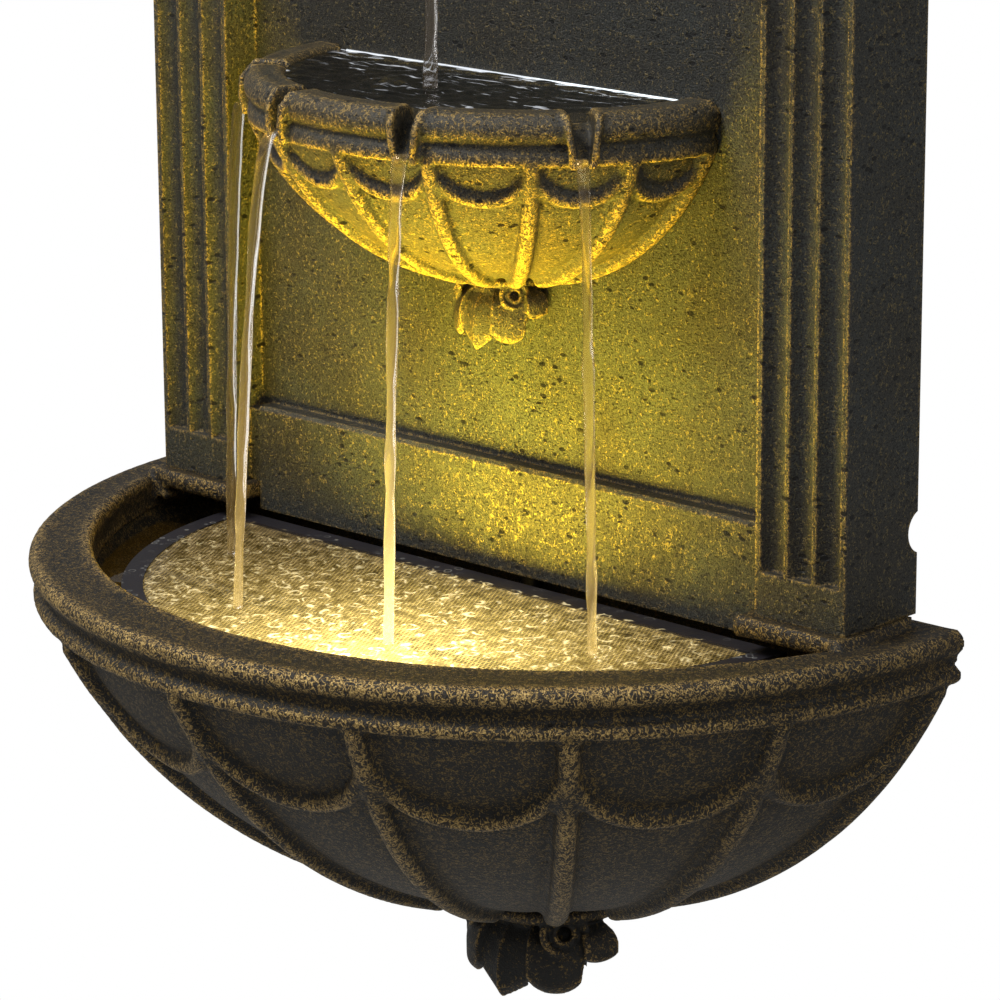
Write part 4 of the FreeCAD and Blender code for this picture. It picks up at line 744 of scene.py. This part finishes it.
def still_water(name, half_width, back, front, level, cell, wave):
    """A surface of cells from the plane y = back to the edge y = front(x), raised by wave(x, y)."""
    along = max(2, 2 * int(half_width / cell))
    piece = made(bpy.ops.mesh.primitive_grid_add, x_subdivisions=along, y_subdivisions=along, size=2)
    piece.name = name
    edit_all(piece)
    bpy.ops.mesh.bisect(plane_co=(0, 0, 0), plane_no=(0, 1, 0), clear_outer=True)
    bpy.ops.object.mode_set(mode="OBJECT")
    # half of the square grid is drawn out into a half disc, and that into the pool's own outline
    points = coordinates(piece)
    u, v = points[:, 0].copy(), points[:, 1].copy()
    across = u * np.sqrt(1 - v * v / 2)
    forward = -v * np.sqrt(1 - u * u / 2) / np.sqrt(np.maximum(1 - across ** 2, 1e-6))
    points[:, 0] = across * half_width
    points[:, 1] = back + forward * (front(points[:, 0]) - back)
    points[:, 2] = level + np.array([wave(x, y) for x, y in points[:, :2]])
    move_points(piece, points)
    bpy.ops.object.shade_smooth()
    return piece


def round_front(middle, radius):
    """The front edge of a round disc about (0, middle)."""
    return lambda x: middle - np.sqrt(np.maximum(radius ** 2 - x ** 2, 0))


def oval_front(half_width, depth, back):
    """The front edge of a half oval that ends at the plane y = back."""
    return lambda x: back - depth * np.sqrt(np.maximum(1 - (x / half_width) ** 2, 0))


def ring_waves(x, y, centres, length, height, fade):
    """Rings round the places where water lands."""
    total = 0.0
    for cx, cy in centres:
        away = math.hypot(x - cx, y - cy)
        total += height * math.cos(2 * math.pi * away / length) * math.exp(-away / fade)
    return total


chute_landings = [(-0.126, -0.111), (-0.052, -0.176), (0.046, -0.168), (0.133, -0.117)]
spout_landing = (-0.003, -0.085)
film_radius = 0.1822
pool_back = -0.0095
pool_half_width = 0.238
bowl_back = -0.0335
bowl_half_width = 0.117
bowl_level = 0.2395


def film_height(x, y):
    """Blobs 8.5 mm apart, slow lifts and rings, all of which fade over the film's last 10 mm."""
    nearest = noise.voronoi((x / 0.0085, y / 0.0085, 3.7), distance_metric="DISTANCE")[0][0]
    blob = max(0.0, 0.55 - nearest) * 0.0016
    lift = noise.noise((x / 0.020, y / 0.020, 1.3)) * 0.0003
    rings = ring_waves(x, y, chute_landings, length=0.011, height=0.0004, fade=0.018)
    inward = min(1.0, max(0.0, (film_radius - math.hypot(x, y - sheet_middle)) / 0.010))
    return (blob + lift + rings) * inward


def bowl_height(x, y):
    """Chop of two sizes, and rings round the stream from the spout."""
    chop = noise.noise((x / 0.012, y / 0.006, 0.2)) * 0.0006
    chop += noise.noise((x / 0.004, y / 0.0025, 5.1)) * 0.0002
    return chop + ring_waves(x, y, [spout_landing], length=0.012, height=0.0009, fade=0.030)


def pool_height(x, y):
    """A slow swell under the screen."""
    return noise.noise((x / 0.015, y / 0.015, 2.2)) * 0.0012


film = still_water("wet_film", half_width=0.1755, back=-0.0575,
                   front=round_front(sheet_middle, film_radius), level=-0.0176, cell=0.0016,
                   wave=film_height)
# painted glow of the lamp's light in the film, and painted glints on its blobs
film_finish = clear_water("wet_film", "#FFFFFF", glow=2.4, base_glow=0.04, blobs=0.0090)
dress(film, film_finish, "lens", "screen")
pool = still_water("basin_water", half_width=pool_half_width, back=pool_back,
                   front=oval_front(pool_half_width, 0.226, pool_back), level=-0.0285, cell=0.0040,
                   wave=pool_height)
# painted glow of the lamp's light in the pool, which stops behind the plane y = -0.058
pool_finish = clear_water("lit_water", "#E6E9DC", glow=1.0, base_glow=0.02, behind=-0.058)
dress(pool, pool_finish, "lens", "fountain")
bowl_water = still_water("bowl_water", half_width=bowl_half_width, back=bowl_back,
                         front=oval_front(bowl_half_width, 0.1035, bowl_back), level=bowl_level,
                         cell=0.0016, wave=bowl_height)
# the water climbs a little where it meets the panel
meniscus = made(bpy.ops.mesh.primitive_cylinder_add, vertices=16, radius=0.0005, depth=0.226,
                location=(0, -0.0338, 0.2396), rotation=(0, math.pi / 2, 0))
bpy.ops.object.transform_apply(location=True, rotation=True, scale=True)
bpy.ops.object.shade_smooth()
joined(bowl_water, meniscus)
# painted shade: the water is tinted dark grey, which darkens what is seen through it, and its ripples and
# edge carry a painted reflection of the sky
dress(bowl_water, clear_water("bowl_water", "#3C4240", edge=bowl_back), "lens", "fountain")


def falling_water(name, start, landing, thick, twist, seed):
    """A stream from start to landing: it thins as it speeds up, twists, and lumps run down it. thick
    is its radius in metres at the start, twist its turn in radians per metre, and seed picks lumps."""
    piece = made(bpy.ops.mesh.primitive_cylinder_add, vertices=20, radius=1.0, depth=1.0,
                 end_fill_type="TRIFAN")
    piece.name = name
    fall = start[2] - landing[2]
    slice_height = 0.002
    slices = int(fall / slice_height)
    edit_all(piece)
    for cut in range(1, slices):
        bpy.ops.mesh.select_all(action="SELECT")
        bpy.ops.mesh.bisect(plane_co=(0, 0, -0.5 + cut / slices), plane_no=(0, 0, 1))
    bpy.ops.object.mode_set(mode="OBJECT")
    points = coordinates(piece)
    for point in points:
        down = 0.5 - point[2]
        fallen = down * fall
        around = math.atan2(point[1], point[0])
        out = math.hypot(point[0], point[1])
        speed = math.sqrt(1 + 9 * down)
        lump = 1 + 0.12 * noise.noise((seed, fallen / 0.020, 0.0))
        lump += 0.03 * noise.noise((seed, fallen / 0.006, 9.0))
        spin = twist * fallen + 2.5 * noise.noise((seed, fallen / 0.05, 4.0))
        braid = 1 + 0.15 * math.cos(2 * (around - spin)) + 0.05 * math.cos(3 * around + 1.7 * spin)
        radius = out * thick * (0.55 + 0.45 / speed ** 0.5) * lump * braid
        sway = 0.0011 * noise.noise((seed + 7, fallen / 0.040, 2.0))
        drift = math.sqrt(down)
        point[0] = start[0] + (landing[0] - start[0]) * drift + radius * math.cos(around) + sway
        point[1] = start[1] + (landing[1] - start[1]) * drift + radius * math.sin(around) - sway
        point[2] = start[2] - fallen
    move_points(piece, points)
    edit_all(piece)
    bpy.ops.mesh.normals_make_consistent(inside=False)
    bpy.ops.object.mode_set(mode="OBJECT")
    bpy.ops.object.shade_smooth()
    return piece


# painted glow of the lamp's light in the streams, strongest near the lamp
stream_finish = clear_water("falling_water", "#FFFFFF", glow=1.5, base_glow=0.02, veil=0.40)
chute_lips = [(-0.1160, -0.106), (-0.044, -0.153), (0.044, -0.153), (0.1160, -0.106)]
for index, (lip, landing) in enumerate(zip(chute_lips, chute_landings)):
    stream = falling_water("chute_stream_%d" % (index + 1), (*lip, 0.2215), (*landing, -0.0165),
                           thick=0.0029, twist=22.0 + 5 * index, seed=3.1 * index)
    dress(stream, stream_finish, "lens", "fountain")
spout_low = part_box("spout_pipe")[0]
spout_stream = falling_water("spout_stream", (0.0, spout_low[1] + 0.003, spout_low[2] + 0.006),
                             (*spout_landing, bowl_level), thick=0.0040, twist=30.0, seed=17.0)
dress(spout_stream, stream_finish, "lens", "fountain")


# Lamp: a small sealed light in the basin, with a clear domed lens over warm emitters. It lights the
# water, the mesh and the undersides from below; an area light that faces up stands for its light on the
# undersides, and its glow in the water and on the mesh is painted on them.
glass, tree, shader = new_material("moulded_polycarbonate_lens")
shader.inputs["Base Color"].default_value = srgb("#F4F1E2")
shader.inputs["Transmission Weight"].default_value = 1.0
shader.inputs["IOR"].default_value = 1.58
haze = lumps(tree, 1 / 0.004, 3.0, own_place(tree))
tree.links.new(step(tree, haze, 0.2, 2.6), shader.inputs["Roughness"])
paint(glass, "lamp_lens")
emitters, tree, shader = new_material("warm_emitters_on_board")
chips = from_nearest(tree, 1 / 0.006, stretched(tree, z=0.0), Randomness=0.15)
lit = step(tree, chips, 0.34, 0.28)
tree.links.new(blended(tree, lit, "#E8E6DC", "#F2C84A"), shader.inputs["Base Color"])
tree.links.new(blended(tree, lit, "#000000", "#FFC850"), shader.inputs["Emission Color"])
tree.links.new(sums(tree, "MULTIPLY", lit, 4.0), shader.inputs["Emission Strength"])
shader.inputs["Roughness"].default_value = 0.5
paint(emitters, "lamp_board")

glow_data = bpy.data.lights.new("lamp_glow", "AREA")
glow_data.shape = "DISK"
glow_data.size = 0.18
glow_data.energy = 7.6
glow_data.color = (1.0, 0.78, 0.06)
glow = bpy.data.objects.new("lamp_glow", glow_data)
bpy.context.scene.collection.objects.link(glow)
glow.location = (0.02, -0.152, -0.010)
glow.rotation_euler = (math.pi, 0, 0)
glow.visible_camera = False
glow.visible_glossy = False
glow.visible_transmission = False


# Ground and light: a plain pale floor below the hung fountain, which the camera sees as white, a
# large soft lamp high on the left in front, a weaker one on the right and an even white sky.
def plainly_seen(tree):
    """1 for what the camera sees directly or through clear water, and 0 for light and mirroring."""
    ray = add(tree, "ShaderNodeLightPath")
    return sums(tree, "MAXIMUM", ray.outputs["Is Camera Ray"], ray.outputs["Is Transmission Ray"])


def soft_box(name, at, aim, width, power):
    """A square studio lamp that faces a point."""
    lamp_data = bpy.data.lights.new(name, "AREA")
    lamp_data.size = width
    lamp_data.energy = power
    lamp = bpy.data.objects.new(name, lamp_data)
    bpy.context.scene.collection.objects.link(lamp)
    lamp.location = at
    lamp.rotation_euler = (Vector(aim) - Vector(at)).to_track_quat("-Z", "Y").to_euler()


floor_finish, tree, shader = new_material("pale_floor")
shader.inputs["Base Color"].default_value = srgb("#B4B4B2")
white = add(tree, "ShaderNodeEmission", {"Color": (1, 1, 1, 1), "Strength": 1.0})
mixed = add(tree, "ShaderNodeMixShader", Fac=plainly_seen(tree))
tree.links.new(shader.outputs[0], mixed.inputs[1])
tree.links.new(white.outputs[0], mixed.inputs[2])
tree.links.new(mixed.outputs[0], tree.nodes["Material Output"].inputs["Surface"])
floor = made(bpy.ops.mesh.primitive_plane_add, size=24.0, location=(0, 0, -0.95))
floor.name = "floor"
floor.data.materials.append(floor_finish)

sky_strength = 0.26
world = bpy.data.worlds.new("studio")
bpy.context.scene.world = world
world.use_nodes = True
tree = world.node_tree
sky = tree.nodes["Background"]
sky.inputs["Color"].default_value = (1, 1, 1, 1)
tree.links.new(sums(tree, "MAXIMUM", plainly_seen(tree), sky_strength), sky.inputs["Strength"])
soft_box("key", at=(-0.7, -1.5, 2.4), aim=(0, -0.1, 0.1), width=1.1, power=84)
soft_box("side", at=(2.4, -0.6, 1.3), aim=(0, 0, 0.1), width=1.2, power=18)

bpy.context.scene.view_settings.view_transform = "Standard"
